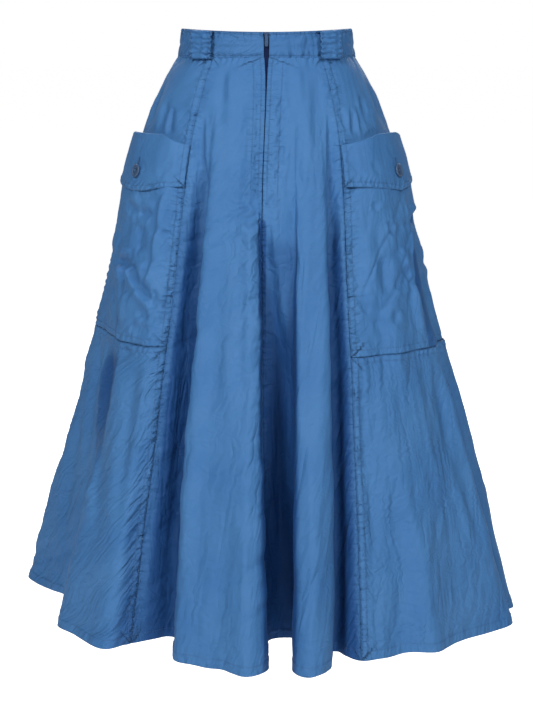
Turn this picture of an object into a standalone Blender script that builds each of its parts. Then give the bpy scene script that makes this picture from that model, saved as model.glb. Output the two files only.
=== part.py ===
# Cargo midi skirt, hollow and standing as worn: a waistband with wide belt loops, a front zip over an
# inverted pleat, side panels that carry large patch pockets with turned-down buttoned tops, and a full
# hem in deep folds. The front faces -Y, the wearer's left is +X, and the origin is the middle of the
# waistband.
import math

import bmesh
import bpy
from mathutils import Matrix, Vector

# Sizes in metres.
CLOTH = 0.0012
SEAM_GAP = 0.0003
BAND_TOP_SIDE = 0.018
BAND_TOP_DIP = 0.0045
SEAM_HEIGHT = -0.021
SEAM_RISE = 0.001
HEM_HEIGHT = -0.762
BAND_THICK = 0.0024
BAND_HALF_GAP = 0.0034
FOLD_GROWTH = 1.25
WIDEST_COLUMN = 0.027

# The cone the folds hang from: how far below the waist seam, and half its width and depth there.
PROFILE = [
    # drop, half_width, half_depth
    (0.000, 0.1185, 0.0950),
    (0.015, 0.1285, 0.1010),
    (0.031, 0.1370, 0.1065),
    (0.047, 0.1450, 0.1120),
    (0.063, 0.1520, 0.1165),
    (0.095, 0.1650, 0.1260),
    (0.143, 0.1800, 0.1380),
    (0.192, 0.1920, 0.1500),
    (0.257, 0.2080, 0.1655),
    (0.324, 0.2250, 0.1820),
    (0.390, 0.2440, 0.1990),
    (0.458, 0.2620, 0.2170),
    (0.595, 0.3005, 0.2550),
    (0.741, 0.3400, 0.3000),
]

# The ridge and valley lines of the folds, from the centre front seam round by the wearer's left side:
# where each leaves the waist seam, how far down it starts to open (share of the length), and where it
# meets the hem in millimetres.
FOLDS = [
    # waist_deg, opens, hem_x, hem_y
    (0.0, 0.27, -4, -226),
    (5.0, 0.27, 16, -209),
    (9.5, 0.24, 34, -200),
    (12.0, 0.18, 36, -250),
    (14.5, 0.08, 33, -312),
    (19.5, 0.00, 55, -332),
    (26.5, 0.00, 81, -305),
    (30.5, 0.00, 86, -250),
    (37.0, 0.00, 119, -274),
    (42.0, 0.05, 146, -268),
    (47.5, 0.10, 174, -250),
    (53.0, 0.15, 214, -251),
    (58.5, 0.20, 246, -212),
    (64.0, 0.20, 299, -166),
    (68.0, 0.20, 326, -137),
    (74.0, 0.20, 303, -103),
    (81.0, 0.20, 335, -78),
    (90.0, 0.20, 331, -24),
    (99.0, 0.20, 290, 16),
    (107.0, 0.20, 297, 56),
    (114.0, 0.15, 326, 92),
    (120.0, 0.10, 306, 128),
    (127.0, 0.05, 264, 148),
    (136.0, 0.00, 270, 204),
    (143.0, 0.00, 232, 228),
    (150.0, 0.00, 182, 214),
    (157.0, 0.00, 164, 262),
    (162.0, 0.00, 138, 297),
    (169.0, 0.00, 86, 280),
    (176.0, 0.00, 52, 244),
    (183.0, 0.00, 20, 270),
    (190.0, 0.00, -22, 318),
    (197.0, 0.00, -70, 296),
    (203.0, 0.00, -92, 248),
    (211.0, 0.00, -144, 250),
    (218.0, 0.00, -186, 262),
    (225.0, 0.00, -212, 222),
    (233.0, 0.05, -214, 176),
    (241.0, 0.10, -268, 172),
    (248.0, 0.15, -304, 142),
    (255.0, 0.20, -288, 94),
    (262.0, 0.20, -345, 62),
    (270.0, 0.20, -306, 4),
    (282.0, 0.25, -256, -52),
    (294.5, 0.25, -252, -98),
    (307.0, 0.20, -279, -146),
    (312.0, 0.15, -250, -187),
    (318.0, 0.05, -206, -233),
    (324.0, 0.00, -175, -214),
    (330.0, 0.00, -130, -195),
    (333.0, 0.00, -116, -222),
    (336.5, 0.00, -116, -275),
    (343.0, 0.00, -82, -294),
    (348.0, 0.00, -58, -306),
    (354.0, 0.00, -26, -333),
    (358.0, 0.20, 1, -310),
    (359.2, 0.20, -7, -268),
    (360.0, 0.27, -8, -238),
]

# Levels down the panels, as shares of the length, and the level of the seam under the pockets.
LEVELS = [0.0, 0.03, 0.07, 0.12, 0.18, 0.26, 0.34, 0.42, 0.50, 0.60, 0.72, 0.86, 1.0]
SEAM_LEFT = 0.506
SEAM_RIGHT = 0.492

# The upright seams, by the angle at which each leaves the waist seam.
FRONT_SEAM = 37.0
BACK_SEAM = 127.0
POCKET_BACK = 99.0

# The panels: first and last seam, then first and last level.
PANELS = [
    # name, from_deg, to_deg, from_level, to_level
    ("front_panel_left", 0.0, FRONT_SEAM, 0.0, 1.0),
    ("side_panel_upper_left", FRONT_SEAM, BACK_SEAM, 0.0, SEAM_LEFT),
    ("side_panel_lower_left", FRONT_SEAM, BACK_SEAM, SEAM_LEFT, 1.0),
    ("back_panel", BACK_SEAM, 233.0, 0.0, 1.0),
    ("side_panel_upper_right", 233.0, 324.0, 0.0, SEAM_RIGHT),
    ("side_panel_lower_right", 233.0, 324.0, SEAM_RIGHT, 1.0),
    ("front_panel_right", 324.0, 360.0, 0.0, 1.0),
]

# The pockets stand off the side panels, most at their mouths, and their tops turn down outwards.
POCKET_LEVELS = [0.0, 0.09, 0.22, 0.36, 0.50, 0.64, 0.78, 0.90, 1.0]
POCKET_FOOT = 0.007
POCKET_STAND = 0.0098
POCKET_EDGE = 0.0017
FLAP_CLEAR = 0.0018
FLAP_TOP = 0.136
FLAP_TOP_DROP = 0.014
FLAP_END = 0.219
FLAP_POINT = 0.233
BUTTON_LEVEL = 0.199
BUTTON_RADIUS = 0.009
BUTTON_THICK = 0.0032

LOOP_WIDTH = 0.033
LOOP_TOP = 0.0158
LOOP_FOOT = -0.0215
LOOP_CLOTH = 0.0016
LOOP_STAND = 0.0084
LOOP_DEGREES = {
    "belt_loop_front_left": 43.5,
    "belt_loop_back_left": 138.0,
    "belt_loop_back_right": 222.0,
    "belt_loop_front_right": 315.5,
}

ZIP_FOOT = 0.195
TAPE_HALF = 0.011
SLIDER_WIDTH = 0.0058
SLIDER_TOP = 0.0135
SLIDER_LENGTH = 0.0085
BAR_RADIUS = 0.0006
PULL_LENGTH = 0.0150
PULL_WIDTH = 0.0044

COLOURS = {
    "cloth": (0.075, 0.190, 0.420),
    "tape": (0.010, 0.022, 0.085),
    "trim": (0.110, 0.200, 0.330),
}


def reset_scene():
    for thing in list(bpy.data.objects):
        bpy.data.objects.remove(thing, do_unlink=True)


def material(name, colour, roughness, metallic):
    found = bpy.data.materials.new(name)
    found.use_nodes = True
    shader = found.node_tree.nodes["Principled BSDF"]
    shader.inputs["Base Color"].default_value = (*colour, 1.0)
    shader.inputs["Roughness"].default_value = roughness
    shader.inputs["Metallic"].default_value = metallic
    found.diffuse_color = (*colour, 1.0)
    return found


def rising(knots, values, at):
    # A smooth curve through a table that never overshoots it.
    last = len(knots) - 1
    at = min(max(at, knots[0]), knots[last])
    i = 0
    while i < last - 1 and at > knots[i + 1]:
        i += 1
    steps = [(values[k + 1] - values[k]) / (knots[k + 1] - knots[k]) for k in range(last)]

    def slope(k):
        if k == 0:
            return steps[0]
        if k == last:
            return steps[-1]
        before, after = steps[k - 1], steps[k]
        if before * after <= 0:
            return 0.0
        return 2 * before * after / (before + after)

    return hermite(knots[i], knots[i + 1], values[i], values[i + 1], slope(i), slope(i + 1), at)


def hermite(k0, k1, v0, v1, m0, m1, at):
    h = k1 - k0
    u = (at - k0) / h
    u2 = u * u
    u3 = u2 * u
    part = (2 * u3 - 3 * u2 + 1) * v0 + (u3 - 2 * u2 + u) * h * m0
    return part + (3 * u2 - 2 * u3) * v1 + (u3 - u2) * h * m1


def ease(value):
    value = min(max(value, 0.0), 1.0)
    return value * value * (3 - 2 * value)


def fold_knots():
    # Spacing by the root of the chord keeps the hem curve from looping at the tight turns.
    knots = [0.0]
    for before, after in zip(FOLDS, FOLDS[1:]):
        chord = math.hypot(after[2] - before[2], after[3] - before[3])
        knots.append(knots[-1] + math.sqrt(chord))
    return knots


KNOTS = fold_knots()
DEGREES = [row[0] for row in FOLDS]
OPENS = [row[1] for row in FOLDS]
HEM_X = [row[2] / 1000 for row in FOLDS]
HEM_Y = [row[3] / 1000 for row in FOLDS]
DROPS = [row[0] for row in PROFILE]
HALF_WIDTHS = [row[1] for row in PROFILE]
HALF_DEPTHS = [row[2] for row in PROFILE]


def through(values, at):
    # A smooth curve through the hem points, with slopes shared across each.
    last = len(KNOTS) - 1
    at = min(max(at, KNOTS[0]), KNOTS[last])
    i = 0
    while i < last - 1 and at > KNOTS[i + 1]:
        i += 1

    def slope(k):
        if k == 0:
            return (values[1] - values[0]) / (KNOTS[1] - KNOTS[0])
        if k == last:
            return (values[last] - values[last - 1]) / (KNOTS[last] - KNOTS[last - 1])
        h0 = KNOTS[k] - KNOTS[k - 1]
        h1 = KNOTS[k + 1] - KNOTS[k]
        d0 = (values[k] - values[k - 1]) / h0
        d1 = (values[k + 1] - values[k]) / h1
        return (d0 * h1 + d1 * h0) / (h0 + h1)

    return hermite(KNOTS[i], KNOTS[i + 1], values[i], values[i + 1], slope(i), slope(i + 1), at)


def knot_at(degrees):
    # The place along the fold table that leaves the waist seam at this angle.
    low, high = KNOTS[0], KNOTS[-1]
    for _ in range(40):
        middle = (low + high) / 2
        if rising(KNOTS, DEGREES, middle) < degrees:
            low = middle
        else:
            high = middle
    return (low + high) / 2


def half_width(level):
    drop = level * (SEAM_HEIGHT - HEM_HEIGHT)
    return rising(DROPS, HALF_WIDTHS, drop)


def half_depth(level):
    drop = level * (SEAM_HEIGHT - HEM_HEIGHT)
    return rising(DROPS, HALF_DEPTHS, drop)


def centre_drift(level):
    # The centre front line bows a little to the wearer's right at the foot of the zip.
    if level < 0.26:
        return -0.0055 * ease(level / 0.26)
    return -0.0055 * (1 - ease((level - 0.26) / 0.74))


def zip_gap(level):
    # Half of the gap between the front edges over the zip, wide at the top and closing soon.
    return 0.0005 + 0.0026 * math.exp(-level / 0.018)


def cloth_point(knot, level):
    degrees = rising(KNOTS, DEGREES, knot)
    turn = math.radians(degrees)
    opens = rising(KNOTS, OPENS, knot)
    growth = max(0.0, (level - opens) / (1 - opens)) ** FOLD_GROWTH
    x = half_width(level) * math.sin(turn)
    y = -half_depth(level) * math.cos(turn)
    x += (through(HEM_X, knot) - HALF_WIDTHS[-1] * math.sin(turn)) * growth
    y += (through(HEM_Y, knot) + HALF_DEPTHS[-1] * math.cos(turn)) * growth
    from_front = min(degrees, 360 - degrees)
    near = max(0.0, 1 - from_front / 34)
    x += centre_drift(level) * near * near
    side = 1 if degrees < 180 else -1
    x += side * zip_gap(level) * max(0.0, 1 - from_front / 9) * (1 - growth)
    seam = SEAM_HEIGHT + SEAM_RISE * math.cos(turn)
    return Vector((x, y, seam + (HEM_HEIGHT - seam) * level))


def outward(knot, level):
    step = 0.02
    k0 = max(KNOTS[0], knot - step)
    k1 = min(KNOTS[-1], knot + step)
    l0 = max(0.0, level - 0.004)
    l1 = min(1.0, level + 0.004)
    across = cloth_point(k1, level) - cloth_point(k0, level)
    down = cloth_point(knot, l1) - cloth_point(knot, l0)
    return down.cross(across).normalized()


def columns_between(first, last):
    # One column on each fold line, and enough between that the cloth turns smoothly.
    start, end = knot_at(first), knot_at(last)
    stops = [start] + [k for k in KNOTS if start + 0.05 < k < end - 0.05] + [end]
    columns = [start]
    for k0, k1 in zip(stops, stops[1:]):
        length = 0.0
        for n in range(8):
            a = cloth_point(k0 + (k1 - k0) * n / 8, 1.0)
            b = cloth_point(k0 + (k1 - k0) * (n + 1) / 8, 1.0)
            length += (b - a).length
        parts = max(1, math.ceil(length / WIDEST_COLUMN))
        columns += [k0 + (k1 - k0) * n / parts for n in range(1, parts + 1)]
    return columns


def levels_between(first, last):
    return [first] + [level for level in LEVELS if first + 0.03 < level < last - 0.03] + [last]


def pulled_in(points, gap):
    # The edges of a grid moved in along the cloth, so that neighbours meet with a gap.
    moved = [[point.copy() for point in row] for row in points]
    for row, source in zip(moved, points):
        row[0] += (source[1] - source[0]).normalized() * gap
        row[-1] += (source[-2] - source[-1]).normalized() * gap
    return moved


def add_object(name, mesh, look, collection):
    thing = bpy.data.objects.new(name, mesh)
    mesh.materials.append(look)
    collection.objects.link(thing)
    return thing


def shell(name, points, thickness, look, collection, normals=None):
    # A wall from a grid of outer points: the grid is extruded inwards along the cloth's normals.
    rows, columns = len(points), len(points[0])
    body = bmesh.new()
    bmesh.ops.create_grid(body, x_segments=columns - 1, y_segments=rows - 1, size=1.0)
    body.verts.ensure_lookup_table()
    spot = body.verts.layers.int.new("spot")
    for index, vert in enumerate(body.verts):
        row, column = divmod(index, columns)
        vert.co = points[row][column]
        vert[spot] = index
    bmesh.ops.recalc_face_normals(body, faces=body.faces)
    middle = points[rows // 2][columns // 2]
    body.faces.ensure_lookup_table()
    face = body.faces[(rows // 2 - 1) * (columns - 1) + columns // 2 - 1]
    if normals:
        wanted = normals[rows // 2][columns // 2]
    else:
        wanted = Vector((middle.x, middle.y, 0.0))
    if face.normal.dot(wanted) < 0:
        bmesh.ops.reverse_faces(body, faces=body.faces)
    body.normal_update()
    own = [vert.normal.copy() for vert in body.verts]
    made = bmesh.ops.extrude_face_region(body, geom=list(body.faces))
    for vert in made["geom"]:
        if isinstance(vert, bmesh.types.BMVert):
            row, column = divmod(vert[spot], columns)
            normal = normals[row][column] if normals else own[vert[spot]]
            vert.co -= normal * thickness
    bmesh.ops.recalc_face_normals(body, faces=body.faces)
    for face in body.faces:
        face.smooth = True
    mesh = bpy.data.meshes.new(name)
    body.to_mesh(mesh)
    body.free()
    return add_object(name, mesh, look, collection)


def build_panels(look, collection):
    for name, from_deg, to_deg, from_level, to_level in PANELS:
        columns = columns_between(from_deg, to_deg)
        levels = levels_between(from_level, to_level)
        half = SEAM_GAP / 2
        span = SEAM_HEIGHT - HEM_HEIGHT
        if from_level > 0:
            levels[0] += half / span
        else:
            levels[0] += SEAM_GAP / span
        if to_level < 1:
            levels[-1] -= half / span
        points = [[cloth_point(knot, level) for knot in columns] for level in levels]
        normals = [[outward(knot, level) for knot in columns] for level in levels]
        shell(name, pulled_in(points, half), CLOTH, look, collection, normals)


def mouth_share(share):
    # How far the pocket stands off across its width: sewn down at both edges.
    return ease(min(share, 1 - share) / 0.16)


def pocket_stand(share, down):
    # Down is 0 at the pocket's mouth and 1 at its foot, where it is sewn into the seam.
    full = 1 - 0.45 * ease(down / 0.7)
    foot = ease((1 - down) / 0.28)
    return POCKET_EDGE + (POCKET_STAND - POCKET_EDGE) * mouth_share(share) * full * foot


def flap_edges(share):
    # The level of the flap's top and of its pointed lower edge.
    end = 1 - ease(min(share, 1 - share) / 0.34)
    top = FLAP_TOP + FLAP_TOP_DROP * end
    foot = FLAP_END + (FLAP_POINT - FLAP_END) * (1 - abs(2 * share - 1))
    return top, foot


def pocket_columns(side):
    if side == "left":
        return columns_between(FRONT_SEAM, POCKET_BACK)
    return columns_between(360 - POCKET_BACK, 360 - FRONT_SEAM + 1.0)


def pocket_share(columns, knot):
    return (knot - columns[0]) / (columns[-1] - columns[0])


def raised(knot, level, stand):
    return cloth_point(knot, level) + outward(knot, level) * stand


def pocket_ends(side, share):
    # The levels of the pocket's mouth and of its foot.
    seam = SEAM_LEFT if side == "left" else SEAM_RIGHT
    return flap_edges(share)[0] + 0.004, seam - POCKET_FOOT


def build_pocket(side, look, collection):
    columns = pocket_columns(side)
    points = []
    normals = []
    for down in POCKET_LEVELS:
        line = []
        turned = []
        for knot in columns:
            share = pocket_share(columns, knot)
            mouth, foot = pocket_ends(side, share)
            level = mouth + (foot - mouth) * down
            line.append(raised(knot, level, pocket_stand(share, down)))
            turned.append(outward(knot, level))
        points.append(line)
        normals.append(turned)
    shell("pocket_" + side, pulled_in(points, 0.0006), CLOTH, look, collection, normals)


def flap_point(side, columns, knot, down):
    share = pocket_share(columns, knot)
    top, foot = flap_edges(share)
    level = top + (foot - top) * down
    mouth, pocket_foot = pocket_ends(side, share)
    within = max(0.0, (level - mouth) / (pocket_foot - mouth))
    return raised(knot, level, pocket_stand(share, within) + FLAP_CLEAR)


def build_flap(side, look, collection):
    columns = pocket_columns(side)
    points = []
    for down in (0.0, 0.15, 0.55, 1.0):
        points.append([flap_point(side, columns, knot, down) for knot in columns])
    # The rolled top reaches back over the pocket's upper edge.
    roll = []
    for knot, crest in zip(columns, points[0]):
        share = pocket_share(columns, knot)
        level = flap_edges(share)[0]
        roll.append(crest - outward(knot, level) * 0.0026 + Vector((0, 0, 0.0010)))
    points.insert(0, roll)
    shell("pocket_flap_" + side, pulled_in(points, 0.0006), 0.0014, look, collection)


def frame_on(point, normal):
    # A frame whose Z is the normal and whose Y points up along the cloth.
    up = Vector((0, 0, 1))
    up = (up - normal * up.dot(normal)).normalized()
    across = up.cross(normal)
    turn = Matrix((across, up, normal)).transposed().to_4x4()
    return Matrix.Translation(point) @ turn


def finish_mesh(name, body, look, collection, smooth=False):
    bmesh.ops.recalc_face_normals(body, faces=body.faces)
    for face in body.faces:
        face.smooth = smooth
    mesh = bpy.data.meshes.new(name)
    body.to_mesh(mesh)
    body.free()
    return add_object(name, mesh, look, collection)


def apply_boolean(thing, other, operation):
    modifier = thing.modifiers.new(operation.lower(), "BOOLEAN")
    modifier.object = other
    modifier.operation = operation
    modifier.solver = "EXACT"


def build_button(side, look, collection, cutters):
    columns = pocket_columns(side)
    middle = (columns[0] + columns[-1]) / 2
    top, foot = flap_edges(0.5)
    down = (BUTTON_LEVEL - top) / (foot - top)
    on_flap = flap_point(side, columns, middle, down)
    normal = outward(middle, BUTTON_LEVEL)
    place = frame_on(on_flap + normal * 0.0006, normal)

    # The disc is turned from half of its section: a dished face inside a rounded rim.
    section = [
        (0.0, 0.0),
        (0.0082, 0.0),
        (BUTTON_RADIUS, 0.0016),
        (0.0083, BUTTON_THICK),
        (0.0068, BUTTON_THICK),
        (0.0062, 0.0024),
        (0.0, 0.0024),
    ]
    body = bmesh.new()
    verts = [body.verts.new((r, 0.0, z)) for r, z in section]
    edges = [body.edges.new(pair) for pair in zip(verts, verts[1:])]
    bmesh.ops.spin(
        body,
        geom=verts + edges,
        cent=(0, 0, 0),
        axis=(0, 0, 1),
        angle=2 * math.pi,
        steps=20,
        use_merge=True,
    )
    bmesh.ops.remove_doubles(body, verts=body.verts, dist=0.00005)
    body.transform(place)
    disc = finish_mesh("button_" + side, body, look, collection, smooth=True)

    holes = bmesh.new()
    for x, y in ((-1, -1), (-1, 1), (1, -1), (1, 1)):
        shift = Matrix.Translation((x * 0.0017, y * 0.0017, 0.001))
        bmesh.ops.create_cone(
            holes,
            cap_ends=True,
            segments=6,
            radius1=0.0009,
            radius2=0.0009,
            depth=0.008,
            matrix=place @ shift,
        )
    cutter = finish_mesh("button_holes_" + side, holes, look, cutters)
    cutter.hide_render = True
    cutter.display_type = "WIRE"
    apply_boolean(disc, cutter, "DIFFERENCE")


def band_point(degrees, height_share, stand=0.0):
    # A point on the waistband: height 0 at the waist seam and 1 at the top edge.
    turn = math.radians(degrees)
    top = BAND_TOP_SIDE - BAND_TOP_DIP * math.cos(turn) ** 2
    foot = SEAM_HEIGHT + SEAM_RISE * math.cos(turn)
    width = 0.1185 - 0.0055 * height_share
    depth = 0.0950 - 0.0045 * height_share
    normal = Vector((math.sin(turn) / width, -math.cos(turn) / depth, 0.0)).normalized()
    point = Vector((width * math.sin(turn), -depth * math.cos(turn), foot + (top - foot) * height_share))
    return point + normal * stand, normal


def build_waistband(look, collection):
    end = math.degrees(BAND_HALF_GAP / 0.1160)
    degrees = [end + (360 - 2 * end) * n / 64 for n in range(65)]
    points = []
    normals = []
    for share in (0.0, 0.5, 1.0):
        made = [band_point(angle, share) for angle in degrees]
        points.append([point for point, _ in made])
        normals.append([normal for _, normal in made])
    shell("waistband", points, BAND_THICK, look, collection, normals)


def build_belt_loop(name, middle, look, collection):
    # A wide strap, turned in to the band at the top and the foot, and standing off it between.
    strap = [
        # height share, stand
        (0.975, 0.0005),
        (0.985, 0.0058),
        (0.930, LOOP_STAND),
        (0.70, LOOP_STAND + 0.0004),
        (0.45, LOOP_STAND - 0.0002),
        (0.20, LOOP_STAND + 0.0002),
        (0.035, LOOP_STAND - 0.0004),
        (-0.020, 0.0054),
        (-0.005, 0.0005),
    ]
    centre, normal = band_point(middle, 0.5)
    across = Vector((0, 0, 1)).cross(normal)
    points = []
    for share, stand in strap:
        row = []
        for n in range(5):
            shift = (n / 4 - 0.5) * LOOP_WIDTH
            inner = (centre + across * shift).to_2d()
            # the band curves away from the strap's ends, so they follow it part of the way
            angle = math.degrees(math.atan2(inner.x / 0.1155, -inner.y / 0.0925))
            on_band, out = band_point(angle, share)
            flat = centre + across * shift + normal * stand
            curved = on_band + out * stand
            mix = 1.0 if stand < 0.003 else 0.65
            place = flat.lerp(curved, mix)
            row.append(Vector((place.x, place.y, on_band.z)))
        points.append(row)
    shell(name, points, LOOP_CLOTH, look, collection)


def build_zip_tape(look, collection):
    # One strip behind both front edges, from the top of the band to the foot of the zip.
    shares = [-1.0, -0.66, -0.33, 0.0, 0.33, 0.66, 1.0]
    points = []
    for height in (0.94, 0.75, 0.5, 0.25, 0.06):
        row = []
        for share in shares:
            angle = math.degrees(share * TAPE_HALF / 0.1160)
            row.append(band_point(angle, height, -BAND_THICK - 0.0009)[0])
        points.append(row)
    for level in (0.03, 0.07, 0.12, 0.18, ZIP_FOOT):
        # the tape stays behind the inner face of the fronts
        extra = 0.0017 * (1 - ease(level / 0.06))
        row = []
        for share in shares:
            turn = share * TAPE_HALF / half_width(level)
            x = half_width(level) * math.sin(turn) + centre_drift(level)
            y = -(half_depth(level)) * math.cos(turn) + CLOTH + 0.0006 + extra
            z = SEAM_HEIGHT + SEAM_RISE + (HEM_HEIGHT - SEAM_HEIGHT - SEAM_RISE) * level
            row.append(Vector((x, y, z)))
        points.append(row)
    shell("zip_tape", points, 0.0009, look, collection)


def box_mesh(body, centre, size):
    matrix = Matrix.Translation(centre) @ Matrix.Diagonal((*size, 1.0))
    return bmesh.ops.create_cube(body, size=1.0, matrix=matrix)["verts"]


def pin_mesh(body, centre, radius, width, segments):
    turn = Matrix.Rotation(math.pi / 2, 4, "Y")
    bmesh.ops.create_cone(
        body,
        cap_ends=True,
        segments=segments,
        radius1=radius,
        radius2=radius,
        depth=width,
        matrix=Matrix.Translation(centre) @ turn,
    )


def build_zip_slider(look, collection, cutters):
    face = band_point(0.0, 0.9)[0].y
    centre = Vector((-0.0001, face + 0.0002, SLIDER_TOP - SLIDER_LENGTH / 2))
    body = bmesh.new()
    box_mesh(body, centre, (SLIDER_WIDTH, 0.0032, SLIDER_LENGTH))
    bmesh.ops.bevel(
        body,
        geom=list(body.edges),
        offset=0.0005,
        segments=1,
        affect="EDGES",
        profile=0.5,
        material=-1,
    )
    slider = finish_mesh("zip_slider", body, look, collection)

    # Two ears and the bar between them carry the pull.
    hinge = Vector((centre.x, face - 0.0034, SLIDER_TOP - 0.0022))
    for number, side in enumerate((-1, 1)):
        ear = bmesh.new()
        box_mesh(ear, hinge + Vector((side * 0.0021, 0.0011, 0)), (0.0007, 0.0038, 0.0024))
        piece = finish_mesh("slider_ear_%d" % number, ear, look, cutters)
        piece.hide_render = True
        piece.display_type = "WIRE"
        apply_boolean(slider, piece, "UNION")
    bar = bmesh.new()
    pin_mesh(bar, hinge, BAR_RADIUS, 0.0044, 12)
    piece = finish_mesh("slider_bar", bar, look, cutters)
    piece.hide_render = True
    piece.display_type = "WIRE"
    apply_boolean(slider, piece, "UNION")
    return hinge


def build_zip_pull(hinge, look, collection, cutters):
    axis = bpy.data.objects.new("zip_pull_axis", None)
    axis.location = hinge
    collection.objects.link(axis)

    # An eye that turns on the bar, and the flat tab that hangs from it.
    body = bmesh.new()
    pin_mesh(body, Vector((0, 0, 0)), 0.0017, 0.0028, 16)
    pull = finish_mesh("zip_pull", body, look, collection)
    pull.parent = axis

    tab = bmesh.new()
    outline = [
        (-0.0013, -0.0006),
        (-0.0013, -0.0030),
        (-PULL_WIDTH / 2, -0.0048),
        (-PULL_WIDTH / 2, -PULL_LENGTH),
        (-0.0012, -PULL_LENGTH - 0.0012),
        (0.0012, -PULL_LENGTH - 0.0012),
        (PULL_WIDTH / 2, -PULL_LENGTH),
        (PULL_WIDTH / 2, -0.0048),
        (0.0013, -0.0030),
        (0.0013, -0.0006),
    ]
    ring = [tab.verts.new((x, -0.0012, z)) for x, z in outline]
    plate = tab.faces.new(ring)
    made = bmesh.ops.extrude_face_region(tab, geom=[plate])
    moved = [vert for vert in made["geom"] if isinstance(vert, bmesh.types.BMVert)]
    bmesh.ops.translate(tab, verts=moved, vec=(0, 0.0011, 0))
    plate_object = finish_mesh("pull_tab_plate", tab, look, cutters)
    plate_object.location = hinge
    plate_object.hide_render = True
    plate_object.display_type = "WIRE"
    apply_boolean(pull, plate_object, "UNION")

    bore = bmesh.new()
    pin_mesh(bore, hinge, BAR_RADIUS + 0.0003, 0.0060, 16)
    eye = finish_mesh("pull_bore", bore, look, cutters)
    eye.hide_render = True
    eye.display_type = "WIRE"
    apply_boolean(pull, eye, "DIFFERENCE")

    slot = bmesh.new()
    box_mesh(slot, hinge + Vector((0, -0.0006, -PULL_LENGTH + 0.0022)), (0.0018, 0.004, 0.0036))
    hole = finish_mesh("pull_slot", slot, look, cutters)
    hole.hide_render = True
    hole.display_type = "WIRE"
    apply_boolean(pull, hole, "DIFFERENCE")


def main():
    reset_scene()
    skirt = bpy.data.collections.new("cargo_midi_skirt")
    cutters = bpy.data.collections.new("cutters")
    bpy.context.scene.collection.children.link(skirt)
    bpy.context.scene.collection.children.link(cutters)
    looks = {
        "cloth": material("blue cotton", COLOURS["cloth"], 0.8, 0.0),
        "tape": material("navy zip tape", COLOURS["tape"], 0.85, 0.0),
        "trim": material("blue button and slider", COLOURS["trim"], 0.45, 0.0),
    }
    build_panels(looks["cloth"], skirt)
    build_waistband(looks["cloth"], skirt)
    for name, degrees in LOOP_DEGREES.items():
        build_belt_loop(name, degrees, looks["cloth"], skirt)
    for side in ("left", "right"):
        build_pocket(side, looks["cloth"], skirt)
        build_flap(side, looks["cloth"], skirt)
        build_button(side, looks["trim"], skirt, cutters)
    build_zip_tape(looks["tape"], skirt)
    hinge = build_zip_slider(looks["trim"], skirt, cutters)
    build_zip_pull(hinge, looks["trim"], skirt, cutters)


main()
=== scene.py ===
# Cargo midi skirt in blue cotton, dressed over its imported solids: cut panels, a waistband with wide
# loops, patch pockets with buttoned flaps, a coil zip, and every seam stitched.
import math

import bmesh
import bpy
import numpy as np
from mathutils import Matrix, Vector


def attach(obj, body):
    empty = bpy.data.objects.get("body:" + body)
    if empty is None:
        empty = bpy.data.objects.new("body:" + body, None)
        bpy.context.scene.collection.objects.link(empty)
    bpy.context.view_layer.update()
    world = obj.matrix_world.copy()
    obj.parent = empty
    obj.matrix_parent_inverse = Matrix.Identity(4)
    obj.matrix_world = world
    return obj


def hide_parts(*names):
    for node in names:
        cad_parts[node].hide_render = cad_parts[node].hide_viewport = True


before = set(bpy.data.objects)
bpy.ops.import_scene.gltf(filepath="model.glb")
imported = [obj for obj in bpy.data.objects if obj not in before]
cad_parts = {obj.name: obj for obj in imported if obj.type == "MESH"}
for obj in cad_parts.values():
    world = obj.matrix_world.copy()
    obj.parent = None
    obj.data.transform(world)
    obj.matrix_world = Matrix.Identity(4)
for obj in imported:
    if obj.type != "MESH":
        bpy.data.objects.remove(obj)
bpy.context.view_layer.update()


# The skirt's own sizes, in metres, the same as the solids have. A level runs from 0 at the waist seam
# to 1 at the hem, and degrees run from the centre front round over the wearer's left.
skirtSizes = {
    "seamHeight": -0.021,
    "seamRise": 0.001,       # how much higher the waist seam is in front than at the sides
    "hemHeight": -0.762,
    "foldGrowth": 1.25,      # above 1 the folds open late
    "pocketBack": 99.0,      # degrees of the pockets' back edges
}
centreFront = {
    "drift": 0.0055,         # how far the centre line wanders to the wearer's right
    "driftLevel": 0.26,      # the level of its farthest point
    "driftReach": 34,        # degrees each side that go with it
    "gap": 0.0005,           # half the opening over the zip
    "gapTop": 0.0023,        # what that opens more at the waist
    "gapFade": 0.030,
    "gapReach": 9,
}

profileRows = [
    # drop below the waist seam, half width, half depth
    (0.000, 0.1185, 0.0950),
    (0.015, 0.1285, 0.1010),
    (0.031, 0.1370, 0.1065),
    (0.047, 0.1450, 0.1120),
    (0.063, 0.1520, 0.1165),
    (0.095, 0.1650, 0.1260),
    (0.143, 0.1800, 0.1380),
    (0.192, 0.1920, 0.1500),
    (0.257, 0.2080, 0.1655),
    (0.324, 0.2250, 0.1820),
    (0.390, 0.2440, 0.1990),
    (0.458, 0.2620, 0.2170),
    (0.595, 0.3005, 0.2550),
    (0.741, 0.3400, 0.3000),
]

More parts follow.
